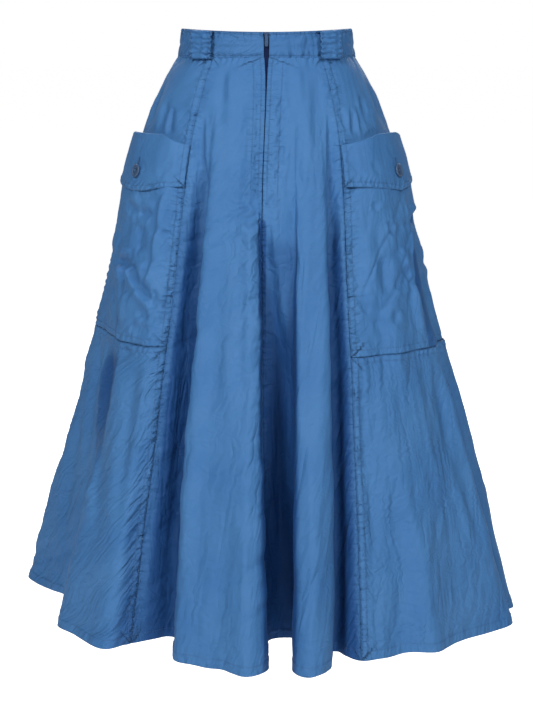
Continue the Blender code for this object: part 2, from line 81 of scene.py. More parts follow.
foldRows = [
    # degrees at the waist, share where it opens, x and y at the hem in millimetres
    (0.0, 0.27, -4, -226), (5.0, 0.27, 16, -209), (9.5, 0.24, 34, -200),
    (12.0, 0.18, 36, -250), (14.5, 0.08, 33, -312), (19.5, 0.00, 55, -332),
    (26.5, 0.00, 81, -305), (30.5, 0.00, 86, -250), (37.0, 0.00, 119, -274),
    (42.0, 0.05, 146, -268), (47.5, 0.10, 174, -250), (53.0, 0.15, 214, -251),
    (58.5, 0.20, 246, -212), (64.0, 0.20, 299, -166), (68.0, 0.20, 326, -137),
    (74.0, 0.20, 303, -103), (81.0, 0.20, 335, -78), (90.0, 0.20, 331, -24),
    (99.0, 0.20, 290, 16), (107.0, 0.20, 297, 56), (114.0, 0.15, 326, 92),
    (120.0, 0.10, 306, 128), (127.0, 0.05, 264, 148), (136.0, 0.00, 270, 204),
    (143.0, 0.00, 232, 228), (150.0, 0.00, 182, 214), (157.0, 0.00, 164, 262),
    (162.0, 0.00, 138, 297), (169.0, 0.00, 86, 280), (176.0, 0.00, 52, 244),
    (183.0, 0.00, 20, 270), (190.0, 0.00, -22, 318), (197.0, 0.00, -70, 296),
    (203.0, 0.00, -92, 248), (211.0, 0.00, -144, 250), (218.0, 0.00, -186, 262),
    (225.0, 0.00, -212, 222), (233.0, 0.05, -214, 176), (241.0, 0.10, -268, 172),
    (248.0, 0.15, -304, 142), (255.0, 0.20, -288, 94), (262.0, 0.20, -345, 62),
    (270.0, 0.20, -306, 4), (282.0, 0.25, -256, -52), (294.5, 0.25, -252, -98),
    (307.0, 0.20, -279, -146), (312.0, 0.15, -250, -187), (318.0, 0.05, -206, -233),
    (324.0, 0.00, -175, -214), (330.0, 0.00, -130, -195), (333.0, 0.00, -116, -222),
    (336.5, 0.00, -116, -275), (343.0, 0.00, -82, -294), (348.0, 0.00, -58, -306),
    (354.0, 0.00, -26, -333), (358.0, 0.20, 1, -310), (359.2, 0.20, -7, -268),
    (360.0, 0.27, -8, -238),
]


def ease(value):
    value = np.clip(value, 0.0, 1.0)
    return value * value * (3 - 2 * value)


def curveAt(knots, values, slopes, at):
    at = np.clip(at, knots[0], knots[-1])
    i = np.clip(np.searchsorted(knots, at, side="right") - 1, 0, len(knots) - 2)
    h = knots[i + 1] - knots[i]
    u = (at - knots[i]) / h
    u2, u3 = u * u, u * u * u
    ends = (2 * u3 - 3 * u2 + 1) * values[i] + (3 * u2 - 2 * u3) * values[i + 1]
    return ends + (u3 - 2 * u2 + u) * h * slopes[i] + (u3 - u2) * h * slopes[i + 1]


def risingSlopes(knots, values):
    # slopes of a curve that never overshoots its table
    steps = np.diff(values) / np.diff(knots)
    slopes = np.concatenate([steps[:1], np.zeros(len(steps) - 1), steps[-1:]])
    product = steps[:-1] * steps[1:]
    total = np.where(product > 0, steps[:-1] + steps[1:], 1.0)
    slopes[1:-1] = np.where(product > 0, 2 * product / total, 0.0)
    return slopes


def throughSlopes(knots, values):
    # slopes shared across each knot
    h = np.diff(knots)
    steps = np.diff(values) / h
    inner = (steps[:-1] * h[1:] + steps[1:] * h[:-1]) / (h[:-1] + h[1:])
    return np.concatenate([steps[:1], inner, steps[-1:]])


profileTable = np.array(profileRows)
foldTable = np.array(foldRows)
foldTable[:, 2:] /= 1000
chords = np.linalg.norm(np.diff(foldTable[:, 2:] * 1000, axis=0), axis=1)
foldKnots = np.concatenate([[0.0], np.cumsum(np.sqrt(chords))])
curveSlopes = {
    "degrees": risingSlopes(foldKnots, foldTable[:, 0]),
    "opens": risingSlopes(foldKnots, foldTable[:, 1]),
    "hemX": throughSlopes(foldKnots, foldTable[:, 2]),
    "hemY": throughSlopes(foldKnots, foldTable[:, 3]),
    "width": risingSlopes(profileTable[:, 0], profileTable[:, 1]),
    "depth": risingSlopes(profileTable[:, 0], profileTable[:, 2]),
}
manyKnots = np.linspace(foldKnots[0], foldKnots[-1], 24001)
manyDegrees = curveAt(foldKnots, foldTable[:, 0], curveSlopes["degrees"], manyKnots)


def knotAt(degrees):
    return np.interp(degrees, manyDegrees, manyKnots)


def halfSizes(level):
    drop = level * (skirtSizes["seamHeight"] - skirtSizes["hemHeight"])
    width = curveAt(profileTable[:, 0], profileTable[:, 1], curveSlopes["width"], drop)
    depth = curveAt(profileTable[:, 0], profileTable[:, 2], curveSlopes["depth"], drop)
    return width, depth


def clothPoint(knot, level):
    # A point of the skirt's outer face, by the place along the fold table and the level.
    knot, level = np.broadcast_arrays(np.asarray(knot, float), np.asarray(level, float))
    degrees = curveAt(foldKnots, foldTable[:, 0], curveSlopes["degrees"], knot)
    opens = curveAt(foldKnots, foldTable[:, 1], curveSlopes["opens"], knot)
    hemX = curveAt(foldKnots, foldTable[:, 2], curveSlopes["hemX"], knot)
    hemY = curveAt(foldKnots, foldTable[:, 3], curveSlopes["hemY"], knot)
    turn = np.radians(degrees)
    growth = np.maximum(0.0, (level - opens) / (1 - opens)) ** skirtSizes["foldGrowth"]
    width, depth = halfSizes(level)
    x = width * np.sin(turn) + (hemX - profileRows[-1][1] * np.sin(turn)) * growth
    y = -depth * np.cos(turn) + (hemY + profileRows[-1][2] * np.cos(turn)) * growth
    fromFront = np.minimum(degrees, 360 - degrees)
    near = np.maximum(0.0, 1 - fromFront / centreFront["driftReach"])
    turned = centreFront["driftLevel"]
    drift = np.where(level < turned, ease(level / turned), 1 - ease((level - turned) / (1 - turned)))
    x = x - centreFront["drift"] * drift * near * near
    zipGap = centreFront["gap"] + centreFront["gapTop"] * np.exp(-level / centreFront["gapFade"])
    side = np.where(degrees < 180, 1.0, -1.0)
    x = x + side * zipGap * np.maximum(0.0, 1 - fromFront / centreFront["gapReach"]) * (1 - growth)
    seam = skirtSizes["seamHeight"] + skirtSizes["seamRise"] * np.cos(turn)
    z = seam + (skirtSizes["hemHeight"] - seam) * level
    return np.stack([x, y, z], axis=-1)


def unit(vectors):
    length = np.linalg.norm(vectors, axis=-1, keepdims=True)
    return vectors / np.maximum(length, 1e-12)


def outward(knot, level):
    knot, level = np.broadcast_arrays(np.asarray(knot, float), np.asarray(level, float))
    k0 = np.maximum(foldKnots[0], knot - 0.02)
    k1 = np.minimum(foldKnots[-1], knot + 0.02)
    l0 = np.maximum(0.0, level - 0.004)
    l1 = np.minimum(1.0, level + 0.004)
    across = clothPoint(k1, level) - clothPoint(k0, level)
    down = clothPoint(knot, l1) - clothPoint(knot, l0)
    return unit(np.cross(down, across))


# ---- cloth grids
panelLook = {
    "wall": 0.0009,          # cloth thickness
    "seamDip": 0.0006,       # how far a seam sinks between its two panels
    "seamBand": 0.0012,      # height of the felled allowance under the twin stitching
    "pucker": 0.0014,        # height of the small ripples along a stitched seam
    "puckerPitch": 0.0105,
    "boost": 1.6,            # how much deeper the small creases are than their rows say
    "hemTurn": 0.0125,       # depth of the turned hem
    "softness": 0.0013,      # size of the slow unevenness all over
    "crumple": 0.0013,       # depth of the washed-in creases
}

# Long soft folds and small creases of the panels, placed one by one:
# degrees and level where each starts and ends, bow, height (below 0 a trough), half width, all three
# in millimetres, and lean. A row of under 6 mm is a small crease, a higher one a large hollow.
frontCreases = [
    # the deep hollows beside and between the two front folds
    (331.5, 0.150, 331.6, 1.250, 0, -13.0, 13, 0.1),
    (31.2, 0.180, 31.0, 1.250, 0, -8.0, 10, -0.1),
    (354.7, 0.009, 356.6, 0.103, 0.5, -0.3, 2.2, 0),
    (0.4, 0.252, 4.8, 0.230, 0.3, -2.0, 2.6, 0.2),
    (351.5, 0.273, 359.2, 0.257, 0.3, -1.6, 2.8, 0.2),
    (346.8, 0.288, 354.2, 0.262, 0.5, -1.2, 3.2, 0.2),
    (348.6, 0.256, 356.5, 0.252, 0.5, -0.9, 2.8, 0.2),
    (352.0, 0.225, 357.0, 0.250, 1.0, -1.0, 3.5, 0.2),
    (323.9, 0.037, 324.1, 0.101, 2, -2.0, 5, 0.2),
    (327.6, 0.085, 333.5, 0.266, 1, -2.6, 5, -0.4),
    (33.3, 0.082, 29.4, 0.265, 1, -2.8, 5, 0.4),
    (38.4, 0.076, 40.7, 0.122, 1, -1.8, 5, 0.2),
    (45.6, 0.085, 43.6, 0.145, 0, -2.6, 4, 0.3),
    (51.5, 0.080, 48.0, 0.140, 0, -2.2, 4, 0.3),
    (306.1, 0.080, 310.9, 0.143, 0, -2.4, 4, 0.3),
    (9.0, 0.063, 4.8, 0.100, 1, -2.3, 3, 0.2),
    (10.8, 0.077, 4.8, 0.127, 1, -2.1, 3, 0.2),
    (9.8, 0.107, 4.4, 0.154, 1, -1.9, 3, 0.2),
    (9.0, 0.137, 4.5, 0.184, 1, -2.1, 3, 0.2),
    (8.5, 0.167, 4.1, 0.210, 1, -1.9, 3, 0.2),
    (17.4, 0.100, 15.2, 0.220, 1.5, -1.2, 5, 0.2),
    (29.3, 0.020, 24.7, 0.171, 2, -1.4, 7, 0.1),
    (348.3, 0.053, 349.8, 0.220, 2, -1.3, 7, 0.1),
    (335.3, 0.012, 339.8, 0.138, 2, -1.3, 6, 0.1),
    (19.0, 0.012, 17.2, 0.087, 1, 1.1, 5, 0),
    (339.2, 0.012, 341.9, 0.083, 1, 1.0, 5, 0),
    (6.4, 0.288, 3.3, 0.474, 2, -1.6, 5, 0.2),
    (7.4, 0.321, 8.9, 0.614, 3, -1.4, 6, 0.2),
    (343.1, 0.321, 341.9, 0.604, 4, -1.8, 10, 0.2),
    (351.7, 0.304, 353.1, 0.662, 4, -2.2, 10, 0.2),
    (348.4, 0.454, 349.3, 0.825, 4, 1.6, 12, 0.1),
    (341.1, 0.637, 340.0, 0.898, 3, -1.8, 9, 0.2),
    (21.0, 0.337, 20.7, 0.679, 4, -2.0, 10, 0.2),
    (24.6, 0.404, 24.4, 0.762, 3, 1.5, 8, 0.1),
    (16.8, 0.598, 17.5, 0.883, 3, -1.6, 9, 0.2),
    (5.8, 0.613, 6.6, 0.858, 3, -1.5, 6, 0.2),
    (325.5, 0.516, 326.3, 0.792, 3, -2.0, 8, 0.2),
    (331.2, 0.516, 331.0, 0.862, 4, -2.2, 10, 0.2),
    (330.3, 0.655, 330.5, 0.968, 3, 1.4, 9, 0.1),
]
sideCreases = [
    # the hollow behind the right side's first fold, and a shallower one on the left
    (282.5, 0.492, 296.0, 1.200, 0, -15.0, 10, 0.1),
    (75.5, 0.560, 74.5, 1.200, 0, -7.0, 14, 0.1),
    (40.6, 0.511, 41.5, 0.841, 4, -2.4, 10, 0.2),
    (46.9, 0.507, 48.4, 0.815, 4, 1.8, 12, 0.1),
    (51.9, 0.503, 54.3, 0.851, 5, -3.0, 12, 0.3),
    (58.2, 0.505, 61.0, 0.801, 5, 2.0, 12, 0.1),
    (64.9, 0.503, 65.5, 0.882, 6, -2.8, 12, 0.3),
    (65.0, 0.634, 63.7, 0.878, 4, 1.8, 10, 0.1),
    (41.7, 0.694, 41.6, 0.970, 3, -1.8, 9, 0.2),
    (272.6, 0.495, 276.4, 0.755, 4, -4.0, 11, 0.3),
    (304.0, 0.501, 312.6, 0.832, 5, -3.0, 12, 0.2),
    (314.6, 0.504, 317.5, 0.853, 5, -2.4, 11, 0.2),
    (319.7, 0.501, 320.0, 0.752, 4, 1.6, 12, 0.1),
    (268.2, 0.632, 272.1, 0.938, 4, -2.4, 11, 0.2),
    (283.7, 0.653, 298.6, 0.943, 4, 1.8, 12, 0.1),
    (320.2, 0.616, 322.1, 0.923, 4, -2.0, 10, 0.2),
    (263.7, 0.377, 268.7, 0.381, 1, -2.0, 5, 0.2),
    # the hidden sides, folded in the same way
    (75.0, 0.520, 77.0, 0.800, 5, -2.6, 12, 0.2),
    (84.0, 0.507, 86.5, 0.900, 5, 2.0, 12, 0.2),
    (92.0, 0.512, 91.0, 0.760, 4, -2.2, 10, 0.3),
    (98.0, 0.560, 101.0, 0.900, 5, -3.0, 12, 0.2),
    (105.0, 0.520, 108.0, 0.880, 5, 2.2, 11, 0.2),
    (112.0, 0.300, 115.0, 0.780, 5, -2.8, 11, 0.3),
    (120.0, 0.420, 121.0, 0.930, 5, -2.4, 12, 0.2),
    (104.0, 0.180, 107.0, 0.330, 2, -2.4, 6, 0.3),
    (109.0, 0.110, 104.0, 0.210, 2, -2.0, 6, 0.3),
    (119.0, 0.060, 116.0, 0.220, 2, -1.6, 7, 0.2),
    (102.0, 0.380, 110.0, 0.420, 2, -2.2, 6, 0.3),
    (101.5, 0.445, 107.0, 0.455, 1, -1.8, 5, 0.2),
    (57.5, 0.060, 54.5, 0.130, 1, -1.6, 5, 0.2),
    (76.0, 0.030, 74.0, 0.126, 2, -1.6, 7, 0.2),
    (93.0, 0.050, 91.0, 0.128, 2, -1.4, 7, 0.2),
    (284.0, 0.040, 287.0, 0.128, 2, -1.6, 7, 0.2),
    (267.0, 0.050, 269.0, 0.126, 2, -1.4, 7, 0.2),
    (299.0, 0.070, 302.0, 0.128, 1, -1.6, 6, 0.2),
    (256.0, 0.190, 252.0, 0.340, 2, -2.4, 6, 0.3),
    (250.0, 0.120, 255.0, 0.230, 2, -2.0, 6, 0.3),
    (241.0, 0.070, 244.0, 0.240, 2, -1.6, 7, 0.2),
    (257.0, 0.390, 249.0, 0.430, 2, -2.2, 6, 0.3),
    (248.0, 0.310, 245.0, 0.790, 5, -2.8, 11, 0.3),
    (240.0, 0.440, 238.0, 0.940, 5, -2.4, 12, 0.2),
    (256.0, 0.510, 253.0, 0.890, 5, 2.2, 11, 0.2),
    (262.0, 0.560, 259.0, 0.900, 5, -3.0, 12, 0.2),
    (280.0, 0.500, 283.0, 0.740, 5, -2.6, 12, 0.2),
    (291.0, 0.505, 293.0, 0.880, 5, 2.0, 12, 0.2),
    (297.0, 0.500, 304.0, 0.700, 5, -2.4, 10, 0.2),
]
backCreases = [
    (133.0, 0.020, 135.0, 0.190, 2, -1.8, 7, 0.2),
    (141.0, 0.015, 140.0, 0.110, 1, 1.2, 6, 0.1),
    (149.0, 0.020, 151.0, 0.230, 2, -1.6, 8, 0.2),
    (163.0, 0.015, 164.0, 0.150, 2, -1.4, 7, 0.2),
    (176.0, 0.020, 175.0, 0.200, 2, -1.5, 8, 0.1),
    (187.0, 0.015, 188.0, 0.130, 2, 1.2, 6, 0.1),
    (199.0, 0.020, 196.0, 0.240, 2, -1.6, 8, 0.2),
    (212.0, 0.020, 211.0, 0.160, 2, -1.7, 7, 0.2),
    (224.0, 0.020, 226.0, 0.200, 2, -1.8, 7, 0.2),
    (131.0, 0.330, 133.0, 0.700, 4, -2.6, 11, 0.2),
    (139.0, 0.420, 138.0, 0.850, 5, -2.4, 12, 0.2),
    (146.0, 0.300, 148.0, 0.620, 4, 1.8, 11, 0.1),
    (153.0, 0.360, 155.0, 0.800, 5, -2.8, 12, 0.3),
    (160.0, 0.500, 161.0, 0.930, 5, 2.0, 11, 0.1),
    (167.0, 0.280, 166.0, 0.560, 4, -2.0, 11, 0.2),
    (173.0, 0.450, 172.0, 0.900, 5, -2.6, 12, 0.2),
    (181.0, 0.310, 182.0, 0.640, 4, 1.8, 11, 0.1),
    (187.0, 0.480, 186.0, 0.880, 5, -2.4, 11, 0.2),
    (194.0, 0.330, 196.0, 0.720, 5, -2.6, 12, 0.3),
    (201.0, 0.520, 200.0, 0.950, 5, 1.8, 11, 0.1),
    (208.0, 0.300, 206.0, 0.600, 4, -2.2, 11, 0.2),
    (215.0, 0.450, 216.0, 0.860, 5, -2.8, 12, 0.2),
    (223.0, 0.340, 221.0, 0.700, 5, 2.0, 11, 0.1),
    (229.0, 0.400, 230.0, 0.900, 5, -2.4, 12, 0.2),
    (144.0, 0.240, 156.0, 0.262, 2, -1.4, 6, 0.2),
    (192.0, 0.225, 204.0, 0.212, 2, -1.3, 6, 0.2),
    (216.0, 0.252, 226.0, 0.240, 2, -1.3, 6, 0.2),
]


def slowNoise(place, scale, seed):
    # A smooth uneven field: a few waves that cross at odd angles.
    draw = np.random.default_rng(seed)
    total = np.zeros(place.shape[:-1])
    for _ in range(9):
        turn = draw.uniform(0, 2 * math.pi)
        pitch = scale * draw.uniform(0.6, 1.7)
        wave = np.array([math.cos(turn), math.sin(turn) * 0.42]) * 2 * math.pi / pitch
        total += np.sin(place @ wave + draw.uniform(0, 2 * math.pi))
    return total / 4.0


def latticeNoise(x, y, seed):
    # A smooth random field with one bump to each unit square, from -1 to 1.
    lattice = np.random.default_rng(seed).uniform(-1, 1, (97, 97))
    left, low = np.floor(x).astype(int), np.floor(y).astype(int)
    u, v = ease(x - left), ease(y - low)

    def corner(a, b):
        return lattice[(left + a) % 97, (low + b) % 97]

    near = corner(0, 0) * (1 - u) + corner(1, 0) * u
    far = corner(0, 1) * (1 - u) + corner(1, 1) * u
    return near * (1 - v) + far * v


def crumple(x, y, seed, wide, tall, lean=0.0):
    # Thin creases where a smooth field crosses nothing, longer down the cloth than across it.
    across = x + y * lean + 0.012 * np.sin(y * 23 + seed)
    field = latticeNoise(across / wide, y / tall, seed)
    field += 0.45 * latticeNoise(across / wide * 2.3 + 7.3, y / tall * 1.9 + 3.1, seed + 1)
    strength = 0.25 + 0.75 * ease(0.5 + 0.8 * latticeNoise(x / 0.11 + 2.7, y / 0.17 + 5.3, seed + 2))
    line = np.exp(-(field / 0.16) ** 2)
    ridge = np.exp(-((np.abs(field) - 0.42) / 0.24) ** 2)
    return (0.45 * ridge - line) * strength


def pucker(along, pitch, seed):
    # Small ripples along a seam, with their spacing and height drifting.
    draw = np.random.default_rng(seed)
    a, b, c = draw.uniform(0, 2 * math.pi, 3)
    phase = 2 * math.pi * along / pitch + 2.1 * np.sin(along * 55 + a) + 1.3 * np.sin(along * 131 + b)
    size = 0.62 + 0.38 * np.sin(along * 83 + c)
    return np.sin(phase) * size


def nearLine(points, line, normals):
    # For each point: its distance from a drawn line, which side it lies, and its share along.
    best = np.full(len(points), 1e9)
    side = np.ones(len(points))
    share = np.zeros(len(points))
    parts = len(line) - 1
    for n in range(parts):
        a, ab = line[n], line[n + 1] - line[n]
        t = np.clip((points - a) @ ab / max(ab @ ab, 1e-12), 0, 1)
        off = points - a - t[:, None] * ab
        far = np.linalg.norm(off, axis=1)
        closer = far < best
        best = np.where(closer, far, best)
        share = np.where(closer, (n + t) / parts, share)
        side = np.where(closer, np.sign(np.einsum("ij,ij->i", np.cross(normals, ab), off)), side)
    return best, side, share


def addCreases(height, spots, normals, rows, surface, mask=1.0, widen=1.0, boost=1.0):
    # Adds soft troughs and ridges to a height field over the cloth.
    flatSpots, flatNormals = spots.reshape(-1, 3), normals.reshape(-1, 3)
    flat = height.reshape(-1)
    full = np.broadcast_to(mask, height.shape).reshape(-1)
    for deg0, level0, deg1, level1, bow, rise, width, lean in rows:
        steps = np.linspace(0, 1, 11)
        if abs(deg1 - deg0) > 180:
            deg1 += 360 if deg1 < deg0 else -360
        degrees = (deg0 + (deg1 - deg0) * steps) % 360.0
        levels = level0 + (level1 - level0) * steps
        line = surface(knotAt(degrees), levels)
        across = unit(np.cross(line[-1] - line[0], line.mean(axis=0) * (1, 1, 0)))
        line = line + np.sin(steps * math.pi)[:, None] * across * bow / 1000
        reach = 0.0042 * width
        low, high = line.min(axis=0) - reach, line.max(axis=0) + reach
        picked = np.nonzero(((flatSpots > low) & (flatSpots < high)).all(axis=1))[0]
        if not len(picked):
            continue
        far, side, share = nearLine(flatSpots[picked], line, flatNormals[picked])
        wide = width / 1000 * widen * (1 + lean * side) * (0.72 + 0.5 * np.sin(math.pi * share))
        start = 0.28 if level1 < 1.05 else 0.10
        fade = ease(np.minimum(share / start, (1 - share) / 0.34))
        shape = np.exp(-(far / wide) ** 2)
        shoulder = 0.34 * np.exp(-((far - 1.9 * wide) / (1.1 * wide)) ** 2)
        rise = rise / 1000 * (boost if abs(rise) < 6 else 1.0)
        flat[picked] += rise * (shape - shoulder) * fade * full[picked]
    height[...] = flat.reshape(height.shape)


def lengthAlong(line):
    # The length of a line of points up to each of them.
    return np.concatenate([[0.0], np.cumsum(np.linalg.norm(np.diff(line, axis=0), axis=1))])


def spreadColumns(startKnot, endKnot, count, level, edges):
    # Columns evenly spread over the cloth at this level, with extra ones by the seams.
    many = np.linspace(startKnot, endKnot, 4001)
    along = lengthAlong(clothPoint(many, level))
    inner = np.linspace(0, along[-1], count)
    step = inner[1]
    inner = inner[(inner > edges[-1] + step * 0.5) & (inner < along[-1] - edges[-1] - step * 0.5)]
    places = np.concatenate([[0.0], edges, inner, along[-1] - np.array(edges[::-1]), [along[-1]]])
    return np.interp(places, along, many)


def gridSizes(spots):
    across = np.zeros(spots.shape[:2])
    across[:, 1:] = np.cumsum(np.linalg.norm(np.diff(spots, axis=1), axis=2), axis=1)
    down = np.zeros(spots.shape[:2])
    down[1:] = np.cumsum(np.linalg.norm(np.diff(spots, axis=0), axis=2), axis=0)
    return across, down


def gridNormals(spots):
    across = np.gradient(spots, axis=1)
    down = np.gradient(spots, axis=0)
    return unit(np.cross(down, across))


def edgeReach(spots):
    # How far each point of a grid lies from the grid's four edges.
    across, down = gridSizes(spots)
    return {"start": across, "end": across[:, -1:] - across, "top": down, "foot": down[-1:] - down}


def meshFrom(name, body):
    mesh = bpy.data.meshes.new(name)
    body.to_mesh(mesh)
    body.free()
    return mesh


def addObject(name, data):
    made = bpy.data.objects.new(name, data)
    bpy.context.scene.collection.objects.link(made)
    return made


# the finished cloth pieces' points and sizes, for the stitches and buttons that go on them
grids = {}
noLine = 9.0  # metres: a stitch line this far from its edge isn't there


def seamField(seams):
    # For each point, the stitched edge that matters there. Each edge: distance from it, place
    # along it, distances of its two stitch lines, reach of its ripples and their strength.
    shape = seams[0][0].shape
    place, lines, best = np.zeros(shape + (3,)), np.zeros(shape + (3,)), np.full(shape, 1e9)
    for far, along, one, two, reach, amount in seams:
        one, two, reach, amount = (np.broadcast_to(value, shape) for value in (one, two, reach, amount))
        score = far / reach + 9 * (amount < 0.01)
        better = (score < best)[..., None]
        place = np.where(better, np.stack([far, along, reach], axis=-1), place)
        lines = np.where(better, np.stack([one, two, amount], axis=-1), lines)
        best = np.minimum(best, score)
    return place, lines


def clothPiece(name, spots, look, wall, nodes,
               seams=None, creased=0.5, paintedShade=0.0):
    # A sheet from a grid of its outer points, with its wall turned inwards.
    rows, columns = spots.shape[:2]
    body = bmesh.new()
    bmesh.ops.create_grid(body, x_segments=columns - 1, y_segments=rows - 1, size=1.0)
    mesh = meshFrom(name, body)
    mesh.vertices.foreach_set("co", spots.reshape(-1).astype(np.float32))
    mesh.update()
    normals = gridNormals(spots)
    middle = mesh.polygons[(rows // 2) * (columns - 1) + columns // 2]
    if middle.normal.dot(Vector(normals[rows // 2, columns // 2])) < 0:
        mesh.flip_normals()
    across, down = gridSizes(spots)
    corners = np.zeros(len(mesh.loops), np.int32)
    mesh.loops.foreach_get("vertex_index", corners)
    layer = mesh.uv_layers.new(name="cloth")
    sheet = np.stack([across.reshape(-1), down.reshape(-1)], axis=1)[corners]
    layer.data.foreach_set("uv", sheet.reshape(-1).astype(np.float32))
    mesh.polygons.foreach_set("use_smooth", np.ones(len(mesh.polygons), bool))
    if seams:
        for label, values in zip(("seamPlace", "seamLines"), seamField(seams)):
            field = mesh.attributes.new(label, "FLOAT_VECTOR", "POINT")
            field.data.foreach_set("vector", values.reshape(-1).astype(np.float32))
    # the second attribute is painted shade: how far the cloth's colour is darkened towards a deep tint
    for label, values in (("creased", creased), ("paintedShade", paintedShade)):
        field = mesh.attributes.new(label, "FLOAT", "POINT")
        values = np.broadcast_to(values, across.shape).reshape(-1)
        field.data.foreach_set("value", values.astype(np.float32))
    mesh.update()
    mesh.materials.append(look)
    piece = addObject(name, mesh)
    solid = piece.modifiers.new("wall", "SOLIDIFY")
    solid.thickness = wall
    solid.offset = -1.0
    solid.use_rim = True
    grids[name] = {"spots": spots, "normals": normals, "across": across, "down": down}
    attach(piece, "garment")
    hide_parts(*nodes)


# ---- the panels
panels = {
    # first and last seam, first and last level, columns, rows, and the cut: width, length, area
    "front_panel_left": (0.0, 37.0, 0.0, 1.0, 84, 280, (0.32, 0.80), 0.154),
    "front_panel_right": (324.0, 360.0, 0.0, 1.0, 84, 280, (0.34, 0.80), 0.172),
    "side_panel_upper_left": (37.0, 127.0, 0.0, 0.506, 96, 112, (0.34, 0.42), 0.105),
    "side_panel_upper_right": (233.0, 324.0, 0.0, 0.492, 96, 112, (0.34, 0.41), 0.099),
    "side_panel_lower_left": (37.0, 127.0, 0.506, 1.0, 150, 150, (0.60, 0.40), 0.196),
    "side_panel_lower_right": (233.0, 324.0, 0.492, 1.0, 150, 150, (0.60, 0.41), 0.191),
    "back_panel": (127.0, 233.0, 0.0, 1.0, 120, 230, (0.84, 0.80), 0.370),
}
# distances from an edge, in metres, that get extra columns or rows, for the seams and the hem
seamEdges = [0.0007, 0.0018, 0.0036, 0.0056, 0.0076, 0.0090, 0.0105, 0.0135, 0.018]
topEdges = [0.0007, 0.0018, 0.0036, 0.0062, 0.0080, 0.0095]
footEdges = [0.0006, 0.0015, 0.0110, 0.0120, 0.0132]
tuckedLevels = [-0.0030, -0.0015]  # behind the band's foot


def pocketSpan(side):
    # First and last degrees of a pocket, and the level of the seam at its foot.
    upper = panels["side_panel_upper_" + side]
    if side == "left":
        return upper[0], skirtSizes["pocketBack"], upper[3]
    return 360 - skirtSizes["pocketBack"], upper[1], upper[3]


def pocketMask(degrees, level, side):
    # 1 where a pocket covers the panel, fading out round it
    low, high, foot = pocketSpan(side)
    across = ease((degrees - low + 1.5) / 1.5) * ease((high - degrees + 1.5) / 1.5)
    return across * ease((level - 0.118) / 0.016) * ease((foot + 0.006 - level) / 0.006)


def flatHeight(reach, seams):
    # Seam dips, felled bands and their ripples, by distance from each edge.
    height = np.zeros(reach["start"].shape)
    for edge, band, seed in seams:
        far = reach[edge]
        along = reach["top"] if edge in ("start", "end") else reach["start"]
        ripple = panelLook["pucker"] * pucker(along, panelLook["puckerPitch"], seed)
        height -= panelLook["seamDip"] * np.exp(-(far / 0.0011) ** 2)
        if band:
            inside = ease((band - far) / 0.0014) * ease(far / 0.0016)
            height += panelLook["seamBand"] * inside * (1.0 if edge != "top" else 0.3)
            height += ripple * np.exp(-((far - band * 0.55) / 0.0085) ** 2) * ease(far / 0.002)
        else:
            height += 0.7 * ripple * np.exp(-(far / 0.010) ** 2) * ease(far / 0.002)
    return height


# how far the stitch lines are from an edge, in metres
felled = (0.0016, 0.0088)
zipStitches = {"left": (0.0052, 0.0190), "right": (0.0052, 0.0150)}
hemStitch = 0.0112
panelSeams = {
    # edge, width of the felled band there, seed of its ripples
    "front_panel_left": [("end", 0, 11), ("top", 0, 12)],
    "front_panel_right": [("start", 0, 13), ("top", 0, 14)],
    "side_panel_upper_left": [("start", 0.0092, 11), ("end", 0.0, 15), ("top", 0, 16), ("foot", 0, 17)],
    "side_panel_upper_right": [("end", 0.0092, 13), ("start", 0.0, 18), ("top", 0, 19), ("foot", 0, 20)],
    "side_panel_lower_left": [("start", 0.0092, 11), ("end", 0.0, 15), ("top", 0.0082, 21)],
    "side_panel_lower_right": [("end", 0.0092, 13), ("start", 0.0, 18), ("top", 0.0082, 22)],
    "back_panel": [("start", 0.0092, 15), ("end", 0.0092, 18), ("top", 0, 23)],
}


pleatTop = 0.262  # the level where the zip ends and the pleat opens


def pleatSink(degrees, level):
    # How far the cloth goes back inside the pleat: sharply behind the edge that laps over,
    # and back out over the underlay.
    deep = 0.014 * ease((level - pleatTop) / 0.09) + 0.009 * ease((level - 0.36) / 0.2)
    deep = deep - 0.011 * ease((level - 0.7) / 0.3)
    span = 3.8 + 8.2 * ease((level - pleatTop) / 0.3)
    underlay = 1 - ease((degrees / span - 0.35) / 0.65)
    lap = 1 - ease((360 - degrees) / 2.4)
    return deep * np.where(degrees < 180, underlay, lap)


def openSky():
    # How shut in each place of the skirt is between its folds, over knots and levels, for the painted shade
    # in the folds.
    knots = np.linspace(foldKnots[0], foldKnots[-1], 901)
    levels = np.linspace(0.0, 1.0, 49)
    grid = np.meshgrid(knots, levels)
    spots, normals = clothPoint(*grid), outward(*grid)
    height = np.zeros(spots.shape[:2])
    addCreases(height, spots, normals, frontCreases[:2] + sideCreases[:2], clothPoint)
    spots = spots + normals * height[..., None]
    spots[..., 1] += pleatSink(np.interp(grid[0], manyKnots, manyDegrees), grid[1])
    shut = np.zeros(height.shape)
    for n, ring in enumerate(spots[..., :2]):
        along = unit(np.gradient(ring, axis=0))
        out = np.stack([along[:, 1], -along[:, 0]], axis=1)
        gap = ring[None] - ring[:, None]
        far = np.linalg.norm(gap, axis=2)
        rise = np.einsum("ijk,ik->ij", gap, out)
        side = np.einsum("ijk,ik->ij", gap, along)
        slope = np.where((far > 0.004) & (far < 0.16), np.arctan2(rise, np.abs(side)), 0.0)
        ahead = np.where(side > 0, slope, 0.0).max(axis=1)
        behind = np.where(side < 0, slope, 0.0).max(axis=1)
        shut[n] = 1 - (np.cos(ahead) + np.cos(behind)) / 2
    soft = np.ones(9) / 9
    shut = np.apply_along_axis(lambda line: np.convolve(line, soft, mode="same"), 1, shut)
    tall = np.pad(shut, ((4, 4), (0, 0)), mode="edge")
    shut = np.apply_along_axis(lambda line: np.convolve(line, soft, mode="valid"), 0, tall)
    return knots, levels, shut * (0.50 + 0.50 * ease((levels[:, None] - 0.15) / 0.40))


